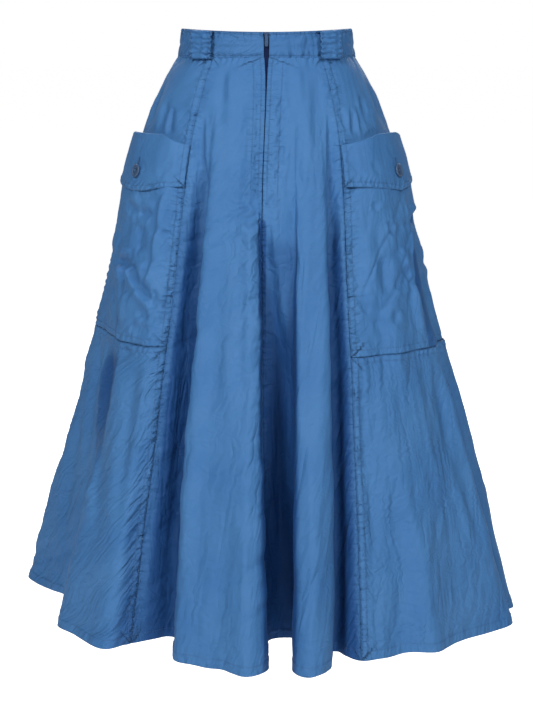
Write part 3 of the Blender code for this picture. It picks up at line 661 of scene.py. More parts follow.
def paintedShadeAt(sky, knots, levels):
    # the painted shade from openSky's field, at these knots and levels
    skyKnots, skyLevels, shut = sky
    across = np.clip(np.interp(knots, skyKnots, np.arange(len(skyKnots))), 0, len(skyKnots) - 1.001)
    down = np.clip(np.interp(levels, skyLevels, np.arange(len(skyLevels))), 0, len(skyLevels) - 1.001)
    i, j = across.astype(int), down.astype(int)
    u, v = across - i, down - j
    upper = shut[j, i] * (1 - u) + shut[j, i + 1] * u
    lower = shut[j + 1, i] * (1 - u) + shut[j + 1, i + 1] * u
    return upper * (1 - v) + lower * v


def panelStitches(name, reach):
    # The stitched edges of a panel, as seamField takes them.
    made = []
    for edge, band, seed in panelSeams[name]:
        along = (reach["top"] if edge in ("start", "end") else reach["start"]) + seed * 0.37
        if band:
            made.append((reach[edge], along, *felled, 0.0125, 1.0 if edge != "top" else 0.28))
        else:
            made.append((reach[edge], along, noLine, noLine, 0.0090, 0.75 if edge != "top" else 0.6))
    down = reach["top"]
    if "front" in name:
        side = name.split("_")[-1]
        far = reach["start" if side == "left" else "end"]
        made.append((far, down, *zipStitches[side], 0.0230, 1.1 * ease((0.200 - down) / 0.03)))
        # below the zip, the slit's edge gets a painted shade line and no stitches
        made.append((far, down, noLine, noLine, 0.004, ease((down - 0.190) / 0.01)))
    if "upper" not in name:
        made.append((reach["foot"], reach["start"], hemStitch, noLine, 0.0120, 0.5))
    return made


# Painted shade: how dark the cloth is at least, from 0 to 1. These are set one by one against the photo,
# and are not worked out from the form as the fold shade from openSky is, so they show from every side and
# in every light.
paintedShadeLevels = {
    "pleatTop": 0.26,
    "pleatLower": 0.26,      # what the pleat's wall gets more, lower down
    "underlay": 0.35,
    "stripLeft": 0.22,       # between a front fold and the princess seam
    "stripRight": 0.30,
    "slit": 0.95,            # where the pleat's two sides meet
    "valley": 0.50,          # behind the first fold of the right side
    "behindBag": 0.42,
    "band": 0.22,
}
underlayEdge = [
    # level, degrees: where the front fold hides the underlay, and where the underlay's painted shade stops
    (0.28, 15.0), (0.45, 14.0), (0.67, 10.2), (0.93, 8.7),
]


def panelLevels(fromLevel, toLevel, lines):
    # Evenly spread levels, with extra ones by the seams and the turned hem.
    span = skirtSizes["seamHeight"] - skirtSizes["hemHeight"]
    tops = fromLevel + np.array(topEdges) / span
    if fromLevel == 0.0:
        tops = np.append(tops, tuckedLevels)
    feet = toLevel - np.array(footEdges) / span
    return np.unique(np.concatenate([np.linspace(fromLevel, toLevel, lines), tops, feet]))


def panelRelief(name, spots, normals, degrees, level, reach):
    # How far a panel stands off the plain form: its seams, folds, and washed-in creases.
    part, side = name.split("_")[0], name.split("_")[-1]
    height = flatHeight(reach, panelSeams[name])
    folds = np.zeros(height.shape)
    cover = np.zeros(height.shape)
    if "upper" in name:
        cover = pocketMask(degrees, level, side)
    rows = backCreases if part == "back" else frontCreases + sideCreases
    addCreases(folds, spots, normals, rows, clothPoint, 1 - cover, boost=panelLook["boost"])
    edges = ease(np.minimum(reach["start"], reach["end"]) / 0.012)
    centre = 1.0
    if part == "front":
        # the centre seam hides in the pleat, so both sides stay plain there
        centre = ease(reach["start" if side == "left" else "end"] / 0.004)
    # rough places on the sheet in metres, for the noise
    sheet = np.stack([np.radians(degrees) * (0.12 + 0.20 * level), level * profileRows[-1][0]], axis=-1)
    slow = slowNoise(sheet, 0.085, 41) + 0.55 * slowNoise(sheet, 0.040, 42)
    slow = slow * panelLook["softness"] * (0.35 + 0.65 * ease(level / 0.2)) * (1 - cover)
    fine = slowNoise(sheet * (1, 0.35), 0.016, 43) * 0.00032 * (1 - cover)
    worn = crumple(sheet[..., 0], sheet[..., 1], 44, 0.072, 0.30, 0.05)
    worn += 0.38 * crumple(sheet[..., 0], sheet[..., 1], 48, 0.036, 0.13, -0.12)
    worn *= panelLook["crumple"] * (0.30 + 0.70 * ease(level / 0.25)) * (1 - cover)
    height += worn * (0.4 + 0.6 * edges) * centre
    # the deep hollows run across the seams, the small creases flatten at them
    height += folds * (0.55 + 0.45 * edges) * centre + (slow + fine) * centre
    height -= 0.0009 * ease(-level / 0.003)
    return height


def hemRelief(degrees, upFromHem):
    # The turned hem: a thicker band with its own ripples, and how the hem line wavers up and down.
    turn = panelLook["hemTurn"]
    girth = np.radians(degrees) * 0.33
    ripple = pucker(girth, 0.016, 31) * np.exp(-((upFromHem - turn) / 0.010) ** 2)
    waver = (0.0010 * np.sin(girth * 47) + 0.0007 * np.sin(girth * 113)) * ease(1 - upFromHem / 0.05)
    return 0.0006 * ease((turn - upFromHem) / 0.0012), 0.0009 * ripple, waver


def panelPaintedShade(name, sky, grid, degrees, level, reach):
    # How much painted shade each point of a panel gets, from the form and from the places given one by one
    # above.
    paintedShade = paintedShadeAt(sky, *grid)
    # painted shade in the pleat, over its underlay, between the front folds and the princess seams, and
    # along the slit
    if name.startswith("front"):
        side = name.split("_")[-1]
        sunk = ease(pleatSink(degrees, level) / 0.012)
        lower = paintedShadeLevels["pleatLower"] * ease((level - 0.30) / 0.30)
        paintedShade = np.maximum(paintedShade, sunk * (paintedShadeLevels["pleatTop"] + lower))
        foldEdge = np.interp(level, *np.array(underlayEdge).T)
        under = paintedShadeLevels["underlay"] * ease((foldEdge - degrees) / 1.6) * ease((level - 0.27) / 0.06)
        if side == "left":
            strip = paintedShadeLevels["stripLeft"] * ease((degrees - 25.0) / 1.5)
        else:
            strip = paintedShadeLevels["stripRight"] * ease((336.0 - degrees) / 2.0)
        strip = strip * ease((level - 0.10) / 0.25)
        paintedShade = np.maximum(paintedShade, np.where(degrees < 24, under, strip))
        slit = np.exp(-(reach["start" if side == "left" else "end"] / 0.0045) ** 2)
        paintedShade = np.maximum(paintedShade, paintedShadeLevels["slit"] * slit * ease((level - pleatTop) / 0.02))
    # painted shade behind the right side's first fold
    if name == "side_panel_lower_right":
        valley = ease((degrees - 285) / 10) * ease((310 - degrees) / 3)
        valley *= ease((level - 0.490) / 0.05) * ease((0.86 - level) / 0.30)
        paintedShade = np.maximum(paintedShade, paintedShadeLevels["valley"] * valley)
    return paintedShade


def buildPanels(look):
    sky = openSky()
    for name, (fromDeg, toDeg, fromLevel, toLevel, columns, lines, flat, area) in panels.items():
        knots = spreadColumns(knotAt(fromDeg), knotAt(toDeg), columns, 0.35 + 0.4 * toLevel, seamEdges)
        grid = np.meshgrid(knots, panelLevels(fromLevel, toLevel, lines))
        level = grid[1]
        degrees = np.interp(grid[0], manyKnots, manyDegrees)
        spots, normals = clothPoint(*grid), outward(*grid)
        reach = edgeReach(spots)
        height = panelRelief(name, spots, normals, degrees, level, reach)
        if toLevel == 1.0:
            band, ripple, waver = hemRelief(degrees, reach["foot"])
            height += band
            height += ripple
            spots[..., 2] += waver
        spots = spots + normals * height[..., None]
        if name.startswith("front"):
            spots[..., 1] += pleatSink(degrees, level)
        nearSeam = np.exp(-(np.minimum(reach["start"], reach["end"]) / 0.030) ** 2)
        creased = (0.75 if name.startswith("side") else 0.60) + 0.55 * nearSeam
        creased = creased * (0.15 + 0.85 * ease((level - 0.03) / 0.20))
        clothPiece("cloth_" + name, spots, look, panelLook["wall"], [name],
                   seams=panelStitches(name, reach), creased=creased,
                   paintedShade=panelPaintedShade(name, sky, grid, degrees, level, reach))


# ---- pockets
pocketSizes = {
    "foot": 0.007,           # level from the bag's foot to the seam
    "stand": 0.0098,         # how far the bag's middle stands off the panel
    "edge": 0.0017,          # and its edges
    "mouthLevel": 0.004,     # from the flap's top to the bag's mouth
    "band": 0.0088,          # the felled allowance at its front and back edge
    "wall": 0.0010,
}
flapSizes = {
    "clear": 0.0018,         # off the bag
    "top": 0.136,            # levels: the top edge, what its ends hang lower, the foot's ends and point
    "topDrop": 0.014,
    "end": 0.219,
    "point": 0.233,
    "roll": 0.0021,          # radius over the pocket's mouth
    "wall": 0.0013,
}
pocketStitches = (0.0016, 0.0082)
flapStitch = 0.0070
pocketCreases = {
    "left": [
        (37.1, 0.235, 39.1, 0.251, 0, -2.2, 3, 0),
        (37.0, 0.260, 39.5, 0.286, 0, -2.4, 3.5, 0),
        (37.9, 0.306, 39.7, 0.326, 0, -2.2, 3.5, 0),
        (39.5, 0.350, 41.5, 0.378, 0, -2.4, 4, 0),
        (39.7, 0.395, 43.8, 0.436, 1, -2.8, 4.5, 0.2),
        (48.4, 0.244, 48.9, 0.265, 0, -1.6, 3.5, 0),
        (53.2, 0.280, 56.2, 0.312, 0, -2.2, 3, 0),
        (61.8, 0.290, 76.9, 0.287, 0, -1.2, 4.5, 0),
        (56.2, 0.309, 61.8, 0.290, 0, -1.3, 4.5, 0),
        (53.0, 0.392, 60.0, 0.385, 1, -2.2, 7, 0.3),
        (60.5, 0.384, 62.6, 0.402, 0, -1.4, 7, 0.2),
        (57.5, 0.362, 61.3, 0.384, 0, -1.8, 5, 0),
        (61.5, 0.390, 64.0, 0.491, 1, 2.4, 8, 0.4),
        (53.4, 0.430, 52.3, 0.460, 0, -2.2, 4.5, 0),
        (50.7, 0.330, 51.8, 0.416, 3, -2.4, 8, 0.2),
        (44.7, 0.287, 45.0, 0.413, 3, 2.0, 9, 0.1),
        (59.1, 0.325, 61.3, 0.372, 2, 2.2, 7, 0.1),
        (45.3, 0.444, 52.2, 0.480, 2, -2.0, 6, 0.2),
        (68.0, 0.400, 66.0, 0.465, 1, -2.8, 7, 0.3),
        (74.0, 0.330, 82.0, 0.372, 2, -3.0, 6, 0.2),
        (82.0, 0.372, 90.0, 0.366, 1, -2.4, 5, 0.2),
        (78.0, 0.400, 80.0, 0.480, 2, 2.4, 8, 0.2),
        (92.0, 0.300, 93.0, 0.430, 2, -2.2, 7, 0.2),
        (70.0, 0.250, 73.0, 0.300, 1, -1.8, 6, 0.2),
        (86.0, 0.260, 84.0, 0.310, 1, -1.8, 6, 0.2),
        (88.0, 0.450, 95.0, 0.470, 1, -2.0, 5, 0.2),
    ],
    "right": [
        (316.1, 0.232, 316.1, 0.300, 1, 2.8, 5, 0.3),
        (316.1, 0.290, 315.7, 0.355, 1, 2.8, 5, 0.3),
        (315.7, 0.345, 314.9, 0.392, 1, 2.4, 5, 0.3),
        (291.2, 0.250, 304.7, 0.267, 2, -2.6, 4.5, 0),
        (302.7, 0.267, 313.0, 0.267, 1, -2.6, 4.5, 0),
        (316.9, 0.298, 321.5, 0.301, 1, -2.2, 4, 0),
        (289.7, 0.358, 305.8, 0.361, 1, -4.6, 5, 0.2),
        (304.6, 0.357, 311.2, 0.394, 1, -4.8, 5, 0.3),
        (310.2, 0.389, 317.2, 0.416, 1, -4.8, 5, 0.3),
        (316.2, 0.411, 318.8, 0.428, 0, -3.2, 4.5, 0),
        (296.4, 0.352, 299.9, 0.396, 0, -3.4, 4.5, 0),
        (317.0, 0.393, 318.0, 0.426, 0, -2.2, 4, 0),
        (323.4, 0.342, 323.2, 0.416, 1, -2.8, 5, 0.3),
        (323.3, 0.408, 320.7, 0.448, 1, -3.2, 5, 0.3),
        (321.1, 0.438, 317.6, 0.476, 1, -2.8, 5, 0.2),
        (309.9, 0.462, 318.4, 0.465, 1, -1.8, 4.5, 0),
        (312.0, 0.430, 317.0, 0.446, 1, -2.0, 4.5, 0),
        (308.2, 0.286, 308.3, 0.345, 2, -2.6, 7, 0.2),
        (319.8, 0.250, 319.2, 0.290, 1, -1.8, 4, 0),
        (303.0, 0.400, 306.0, 0.470, 2, 2.4, 8, 0.2),
        (284.0, 0.300, 292.0, 0.332, 2, -2.4, 6, 0.2),
        (276.0, 0.350, 286.0, 0.371, 2, -3.2, 6, 0.2),
        (268.0, 0.280, 270.0, 0.400, 2, -2.2, 7, 0.2),
        (280.0, 0.400, 282.0, 0.465, 2, 2.4, 8, 0.2),
        (290.0, 0.410, 293.0, 0.470, 1, -2.4, 7, 0.2),
        (266.0, 0.440, 274.0, 0.455, 1, -2.0, 5, 0.2),
    ],
}
flapCreases = {
    "left": [
        (38.2, 0.170, 44.9, 0.208, 1, -1.3, 4, 0.2),
        (48.2, 0.178, 52.2, 0.206, 1, -1.1, 4, 0.2),
        (60.0, 0.150, 63.0, 0.178, 1, -0.9, 4, 0.2),
        (78.0, 0.165, 84.0, 0.200, 1, -1.2, 5, 0.2),
        (90.0, 0.160, 94.0, 0.200, 1, -1.1, 4, 0.2),
        (42.0, 0.200, 56.0, 0.212, 1, 0.7, 4, 0.1),
    ],
    "right": [
        (318.5, 0.156, 320.7, 0.227, 0, 1.5, 4, 0),
        (313.3, 0.210, 317.7, 0.177, 0, -1.4, 4, 0),
        (305.0, 0.197, 296.9, 0.184, 0, -1.3, 4, 0),
        (286.0, 0.160, 290.0, 0.195, 1, -1.0, 4, 0.2),
        (272.0, 0.165, 276.0, 0.205, 1, -1.2, 5, 0.2),
        (300.0, 0.205, 312.0, 0.212, 1, 0.7, 4, 0.1),
    ],
}


def pocketRange(side):
    low, high, foot = pocketSpan(side)
    return knotAt(low), knotAt(high), foot


def flapEdges(share):
    end = 1 - ease(np.minimum(share, 1 - share) / 0.34)
    top = flapSizes["top"] + flapSizes["topDrop"] * end
    point = flapSizes["point"] - flapSizes["end"]
    return top, flapSizes["end"] + point * (1 - np.abs(2 * share - 1))


def pocketStand(share, down):
    mouth = ease(np.minimum(share, 1 - share) / 0.16)
    full = 1 - 0.45 * ease(down / 0.7)
    foot = ease((1 - down) / 0.28)
    return pocketSizes["edge"] + (pocketSizes["stand"] - pocketSizes["edge"]) * mouth * full * foot


bagEdgeRows = {
    # level, degrees: where each pocket's bag turns in to the panel
    "right": [(0.290, 262), (0.330, 273), (0.361, 286), (0.390, 292), (0.444, 295.6), (0.469, 298),
              (0.492, 300)],
    "left": [(0.250, 99), (0.278, 76.1), (0.321, 69.0), (0.358, 65.9), (0.396, 64.4), (0.494, 64.4)],
}


def liftedPoint(lift):
    # The surface a set distance off the plain form, for creases on what lies over a panel.
    return lambda knot, level: clothPoint(knot, level) + outward(knot, level) * lift


def pocketGrid(side, columns, rows):
    startKnot, endKnot, seam = pocketRange(side)
    knots = spreadColumns(startKnot, endKnot, columns, 0.33, seamEdges)
    share = (knots - startKnot) / (endKnot - startKnot)
    down = np.unique(np.concatenate([np.linspace(0, 1, rows), [0.006, 0.96, 0.973, 0.985, 0.994]]))
    share, down = np.meshgrid(share, down)
    knots = np.broadcast_to(knots, share.shape)
    mouth = flapEdges(share)[0] + pocketSizes["mouthLevel"]
    level = mouth + (seam - 0.0009 - mouth) * down
    return knots, level, share, down


def buildPocket(side, look):
    knots, level, share, down = pocketGrid(side, 146, 136)
    stand = pocketStand(share, down)
    # the bag stands off only in front of this line, and lies on the panel behind it
    degrees = np.interp(knots, manyKnots, manyDegrees)
    before = degrees - np.interp(level, *np.array(bagEdgeRows[side]).T)
    before = before if side == "right" else -before  # degrees in front of the line
    stand = pocketSizes["edge"] + (stand - pocketSizes["edge"]) * ease(before / 2.0)
    stand += 0.0020 * np.exp(-((before - 2.2) / 1.5) ** 2) * ease((level - 0.29) / 0.05)
    # painted shade on the bag just behind the line where it turns in to the panel
    paintedShade = paintedShadeLevels["behindBag"] * ease((1.0 - before) / 1.5) * ease((before + 8) / 7)
    stand -= 0.0013 * ease((down - 0.95) / 0.05)
    base = clothPoint(knots, level)
    normals = outward(knots, level)
    spots = base + normals * stand[..., None]
    across, acrossEnd, far, farEnd = edgeReach(spots).values()
    folds = np.zeros(stand.shape)
    addCreases(folds, spots, normals, pocketCreases[side], liftedPoint(0.006), widen=1.15, boost=1.7)
    edge = ease(np.minimum(across, acrossEnd) / 0.009)
    slow = slowNoise(np.stack([across, far], axis=-1), 0.06, 51 if side == "left" else 52)
    slow += 0.5 * slowNoise(np.stack([across, far], axis=-1), 0.026, 53)
    worn = crumple(across, far, 54 if side == "left" else 57, 0.050, 0.085, 0.45)
    worn += 0.25 * crumple(across, far, 60, 0.030, 0.046, -0.5)
    height = folds * (0.45 + 0.55 * edge) + (slow * 0.0008 + worn * 0.0014) * edge
    front, rear = (across, acrossEnd) if side == "left" else (acrossEnd, across)
    for gap, seed in ((front, 61), (rear, 62)):
        inside = ease((pocketSizes["band"] - gap) / 0.0014)
        height += 0.0006 * inside
        near = np.exp(-((gap - 0.006) / 0.009) ** 2)
        height += 0.0008 * near * pucker(far, 0.0098, seed)
        height -= 0.0009 * np.exp(-(gap / 0.0012) ** 2)
    near = np.exp(-((farEnd - 0.006) / 0.008) ** 2)
    height += 0.0005 * near * pucker(across, 0.011, 63) + 0.0005 * ease((0.0085 - farEnd) / 0.0014)
    # no trough goes through the panel
    height = np.maximum(height, -(stand - 0.0014) * (stand > 0.0014))
    spots = spots + normals * height[..., None]
    stitched = [(front, far, *pocketStitches, 0.014, 1.7), (rear, far + 0.4, *pocketStitches, 0.012, 1.2),
                (farEnd, across, noLine, pocketStitches[1], 0.011, 0.5)]
    clothPiece("cloth_pocket_" + side, spots, look, pocketSizes["wall"], ["pocket_" + side],
               seams=stitched, creased=0.45,
               paintedShade=paintedShade)


def buildFlap(side, look):
    startKnot, endKnot, seam = pocketRange(side)
    knots = spreadColumns(startKnot, endKnot, 112, 0.19, [0.0008, 0.002, 0.004, 0.0065, 0.009])
    share = (knots - startKnot) / (endKnot - startKnot)
    # the roll over the pocket's mouth, then down the flap to its pointed foot
    rollSteps = np.linspace(-1, 0, 10)[:-1]
    fallSteps = np.unique(np.concatenate([np.linspace(0, 1, 38), [0.012, 0.03, 0.965, 0.985, 0.994]]))
    top, foot = flapEdges(share)
    mouth = top + pocketSizes["mouthLevel"]
    pocketFoot = seam - pocketSizes["foot"]
    rowsMade, normalRows, fallRows = [], [], []
    for step in np.concatenate([rollSteps, fallSteps]):
        level = top + (foot - top) * max(step, 0.0)
        within = np.maximum(0.0, (level - mouth) / (pocketFoot - mouth))
        stand = pocketStand(share, within) + flapSizes["clear"]
        normal = outward(knots, level)
        spot = clothPoint(knots, level) + normal * stand[:, None]
        if step < 0:
            turn = -step * math.pi * 0.62
            spot = spot - normal * (flapSizes["roll"] * (1 - math.cos(turn)))
            spot = spot + (0, 0, flapSizes["roll"] * math.sin(turn))
        rowsMade.append(spot)
        normalRows.append(normal)
        fallRows.append(np.full(len(knots), step))
    spots, normals, fall = np.array(rowsMade), np.array(normalRows), np.array(fallRows)
    own = gridNormals(spots)
    across, acrossEnd, down, downEnd = edgeReach(spots).values()
    folds = np.zeros(fall.shape)
    addCreases(folds, spots, normals, flapCreases[side], liftedPoint(0.010))
    slow = slowNoise(np.stack([across, down], axis=-1), 0.045, 71 if side == "left" else 72)
    rim = np.minimum(np.minimum(across, acrossEnd), downEnd)
    height = folds + slow * 0.00055
    height += 0.0005 * ease((0.0075 - rim) / 0.0012) * (fall > 0)
    height += 0.0009 * np.exp(-((rim - 0.0072) / 0.006) ** 2) * pucker(across + down * 0.7, 0.0105, 73)
    height -= 0.0010 * np.exp(-(rim / 0.0012) ** 2)
    # the flap's front edge lifts a little off the pocket, and its lower edge curls
    front = across if side == "left" else acrossEnd
    height += 0.0022 * np.exp(-(front / 0.012) ** 2) * ease(fall / 0.5)
    height += 0.0012 * np.exp(-(downEnd / 0.010) ** 2) * (0.6 + 0.6 * np.sin(across * 62 + 0.8))
    height = np.maximum(height, -0.0009)
    spots = spots + own * (height * ease((fall + 0.5) / 0.5))[..., None]
    stitched = [(gap, along, flapStitch, noLine, 0.011, amount) for gap, along, amount in
                ((across, down, 0.7), (acrossEnd, down + 0.3, 0.7), (downEnd, across, 0.8))]
    clothPiece("cloth_pocket_flap_" + side, spots, look, flapSizes["wall"], ["pocket_flap_" + side],
               seams=stitched, creased=0.25)


# ---- waistband and loops
bandSizes = {
    "topSide": 0.018,        # height of the top edge at the sides
    "topDip": 0.0045,        # how much lower it is in front and behind
    "tall": 0.036,
    "widthTaper": 0.0055,    # how much less than the seam the top edge is, in half width and depth
    "depthTaper": 0.0045,
    "wall": 0.0022,
    "halfGap": 0.0034,       # half the opening over the zip
    "frontRadius": 0.1160,   # of the middle of the front, to turn a distance into degrees
    "middleWidth": 0.1155,   # about its half width and half depth at half its height
    "middleDepth": 0.0925,
    "boost": 1.8,            # how much deeper its creases are than their rows say
    "loopWidth": 0.033,
    "loopWall": 0.0015,
}
bandStitch = 0.0036
loopStitch = 0.0026
loopPlaces = {
    "belt_loop_front_left": 43.5,
    "belt_loop_back_left": 138.0,
    "belt_loop_back_right": 222.0,
    "belt_loop_front_right": 315.5,
}


def bandPoint(degrees, share, stand=0.0):
    turn = np.radians(degrees)
    top = bandSizes["topSide"] - bandSizes["topDip"] * np.cos(turn) ** 2
    foot = skirtSizes["seamHeight"] + skirtSizes["seamRise"] * np.cos(turn)
    width = profileRows[0][1] - bandSizes["widthTaper"] * share
    depth = profileRows[0][2] - bandSizes["depthTaper"] * share
    normal = unit(np.stack([np.sin(turn) / width, -np.cos(turn) / depth, 0 * turn], axis=-1))
    spot = np.stack([width * np.sin(turn), -depth * np.cos(turn), foot + (top - foot) * share], axis=-1)
    return spot + normal * np.asarray(stand)[..., None], normal


bandCreases = [
    # degrees and height share at each end, height, half width, both in millimetres
    (341, 0.66, 357, 0.55, -0.7, 2.4), (3, 0.64, 22, 0.76, -0.8, 2.4), (330, 0.35, 345, 0.42, -0.5, 2.2),
    (12, 0.30, 28, 0.36, -0.5, 2.2), (52, 0.62, 74, 0.50, -0.8, 2.6), (80, 0.35, 104, 0.48, -0.8, 2.6),
    (112, 0.62, 128, 0.52, -0.7, 2.4), (150, 0.55, 172, 0.42, -0.8, 2.6), (176, 0.60, 196, 0.68, -0.7, 2.4),
    (200, 0.38, 214, 0.50, -0.7, 2.4), (232, 0.60, 252, 0.48, -0.8, 2.6), (256, 0.38, 280, 0.52, -0.8, 2.6),
    (288, 0.62, 306, 0.50, -0.7, 2.4),
]


def buildWaistband(look):
    end = math.degrees(bandSizes["halfGap"] / bandSizes["frontRadius"])
    degrees = np.linspace(end, 360 - end, 430)
    share = np.array([0, 0.02, 0.045, 0.08, 0.105, 0.13, 0.2, 0.28, 0.36, 0.44, 0.52, 0.6, 0.68, 0.76,
                      0.84, 0.87, 0.895, 0.93, 0.955, 0.98, 1.0])[::-1]
    degrees, share = np.meshgrid(degrees, share)
    spots, normals = bandPoint(degrees, share)
    girth = np.radians(degrees) * 0.108
    tall = share * bandSizes["tall"]
    height = np.zeros(share.shape)
    for deg0, high0, deg1, high1, rise, width in bandCreases:
        t = np.clip((degrees - deg0) / (deg1 - deg0), 0, 1)
        centre = (high0 + (high1 - high0) * t) * bandSizes["tall"] + 0.0010 * np.sin(t * 9)
        past = np.maximum(0, np.abs(degrees - (deg0 + deg1) / 2) - (deg1 - deg0) / 2) * 0.0019
        far = np.hypot(tall - centre, past)
        bump = bandSizes["boost"] * rise / 1000 * np.exp(-(far / (width / 1000)) ** 2)
        height += bump * ease(1 - past / 0.004)
    for line, seed in ((0.1, 81), (0.9, 82)):
        ripple = np.exp(-((share - line) / 0.13) ** 2)
        height += 0.00080 * ripple * pucker(girth, 0.0098, seed)
        height -= 0.00040 * np.exp(-((share - line) / 0.022) ** 2)
    height -= 0.0010 * np.exp(-(np.minimum(share, 1 - share) / 0.022) ** 2)
    slow = 0.0005 * slowNoise(np.stack([girth, tall], axis=-1), 0.03, 83)
    height += slow * ease(share / 0.2) * ease((1 - share) / 0.2)
    spots = spots + normals * height[..., None]
    stitched = [(bandSizes["tall"] * (1 - share), girth, bandStitch, noLine, 0.010, 1.0),
                (bandSizes["tall"] * share, girth + 0.4, bandStitch, noLine, 0.010, 1.0)]
    # the whole band gets an even painted shade
    clothPiece("cloth_waistband", spots, look, bandSizes["wall"], ["waistband"],
               seams=stitched, creased=0.8, paintedShade=paintedShadeLevels["band"])


strapRows = np.array([
    # height share on the band, and how far the strap stands off it
    (0.975, 0.0005), (0.992, 0.0034), (0.985, 0.0062), (0.930, 0.0084), (0.70, 0.0088), (0.45, 0.0082),
    (0.20, 0.0086), (0.035, 0.0080), (-0.018, 0.0054), (-0.028, 0.0026), (-0.005, 0.0005),
])


def buildLoop(name, middle, look):
    # A wide strap gathered on its elastic, turned under at the top and the foot.
    knots = np.arange(len(strapRows), dtype=float)
    at = np.linspace(0, knots[-1], 64)
    share = curveAt(knots, strapRows[:, 0], throughSlopes(knots, strapRows[:, 0]), at)
    stand = curveAt(knots, strapRows[:, 1], throughSlopes(knots, strapRows[:, 1]), at)
    centre, normal = bandPoint(np.array(float(middle)), np.array(0.5))
    across = unit(np.cross((0, 0, 1), normal))
    columns = np.linspace(-0.5, 0.5, 34) * bandSizes["loopWidth"]
    spots = np.zeros((len(at), len(columns), 3))
    for n, shift in enumerate(columns):
        inner = centre + across * shift
        angle = math.degrees(math.atan2(inner[0] / bandSizes["middleWidth"],
                                        -inner[1] / bandSizes["middleDepth"]))
        onBand, out = bandPoint(np.full(len(at), angle), share)
        flat = centre + across * shift + normal * stand[:, None]
        curved = onBand + out * stand[:, None]
        mix = ease((0.0060 - stand) / 0.0030)[:, None] * 0.35 + 0.65
        scallop = 0.0008 * np.sin(share * 29 + middle) * (2 * shift / bandSizes["loopWidth"]) ** 3
        spots[:, n] = flat + (curved - flat) * mix + across * scallop[:, None]
        spots[:, n, 2] = onBand[:, 2]
    own = gridNormals(spots)
    if own[len(at) // 2, 17] @ normal < 0:
        own = -own
    face = ease((stand - 0.0070) / 0.0010)[:, None]
    seed = int(middle)
    draw = np.random.default_rng(seed)
    height = np.zeros(spots.shape[:2])
    for line in (0.86, 0.69, 0.51, 0.34, 0.17):
        wander = 0.030 * np.sin(columns * draw.uniform(120, 260) + draw.uniform(0, 6))
        wander = wander + 0.012 * np.sin(columns * draw.uniform(300, 500) + draw.uniform(0, 6))
        place = line + draw.uniform(-0.02, 0.02) + wander
        far = (share[:, None] - place[None]) * bandSizes["tall"]
        deep = draw.uniform(0.9, 1.5) * (0.75 + 0.25 * np.sin(columns * 170 + draw.uniform(0, 6)))
        height -= 0.0021 * deep * np.exp(-(far / 0.0012) ** 2)
        height += 0.0009 * deep * np.exp(-((far - 0.0030) / 0.0020) ** 2)
    rim = np.minimum(columns + bandSizes["loopWidth"] / 2, bandSizes["loopWidth"] / 2 - columns)
    height -= 0.0008 * np.exp(-(rim / 0.0010) ** 2)[None]
    height += 0.0004 * (ease((0.0035 - rim) / 0.0008))[None]
    height += 0.0003 * np.sin(columns * 430 + seed)[None] * np.sin(at * 2.2)[:, None]
    spots = spots + own * (height * face)[..., None]
    rims, tall = np.broadcast_arrays(rim[None], at[:, None] * 0.0062)  # metres along the strap
    clothPiece("cloth_" + name, spots, look, bandSizes["loopWall"], [name],
               seams=[(rims, tall, loopStitch, noLine, 0.006, 1.0)],
               creased=0.7)


# ---- buttons
buttonSizes = {
    "level": 0.199,
    "radius": 0.0088,
    "thick": 0.0030,
    "hole": 0.0009,
    "holeSpread": 0.0017,    # from the middle to a hole, across and up
    "thread": 0.00026,
    "clear": 0.0007,         # off the flap
}
buttonSection = [
    # shares of the radius and of the thickness, from the middle of the back round to the sunk face
    (0.0, 0.0), (0.86, 0.0), (0.97, 0.3), (1.0, 0.6), (0.97, 0.88), (0.90, 1.0), (0.80, 1.0),
    (0.72, 0.86), (0.66, 0.72), (0.0, 0.66),
]


lying = Matrix.Rotation(math.pi / 2, 4, "Y")  # turns what stands along Z to lie along X


def addPiece(name, mesh, look, nodes, rides, smooth):
    mesh.polygons.foreach_set("use_smooth", np.full(len(mesh.polygons), smooth))
    mesh.materials.append(look)
    piece = addObject(name, mesh)
    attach(piece, rides)
    if nodes:
        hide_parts(*nodes)


def newPiece(name, body, look, nodes=(), rides="garment", smooth=True):
    bmesh.ops.recalc_face_normals(body, faces=body.faces)
    addPiece(name, meshFrom(name, body), look, nodes, rides, smooth)


def tube(body, place, radius, length, segments):
    bmesh.ops.create_cone(body, cap_ends=True, segments=segments, radius1=radius, radius2=radius,
                          depth=length, matrix=place)


def box(body, place, *size):
    bmesh.ops.create_cube(body, size=1.0, matrix=place @ Matrix.Diagonal((*size, 1.0)))


def frameOn(spot, normal):
    # A place on the cloth, with its Z out of it and its Y as near upright as can be.
    normal = Vector(normal).normalized()
    up = Vector((0, 0, 1))
    up = (up - normal * up.dot(normal)).normalized()
    across = up.cross(normal)
    return Matrix.Translation(Vector(spot)) @ Matrix((across, up, normal)).transposed().to_4x4()


def flapSpot(side):
    # where the button sits: on the finished flap, half way across
    spots = grids["cloth_pocket_flap_" + side]["spots"]
    startKnot, endKnot, _ = pocketRange(side)
    middle = np.array((startKnot + endKnot) / 2), np.array(buttonSizes["level"])
    normal = outward(*middle)
    far = np.linalg.norm(spots - (clothPoint(*middle) + normal * 0.011), axis=2)
    return spots[np.unravel_index(far.argmin(), far.shape)], normal


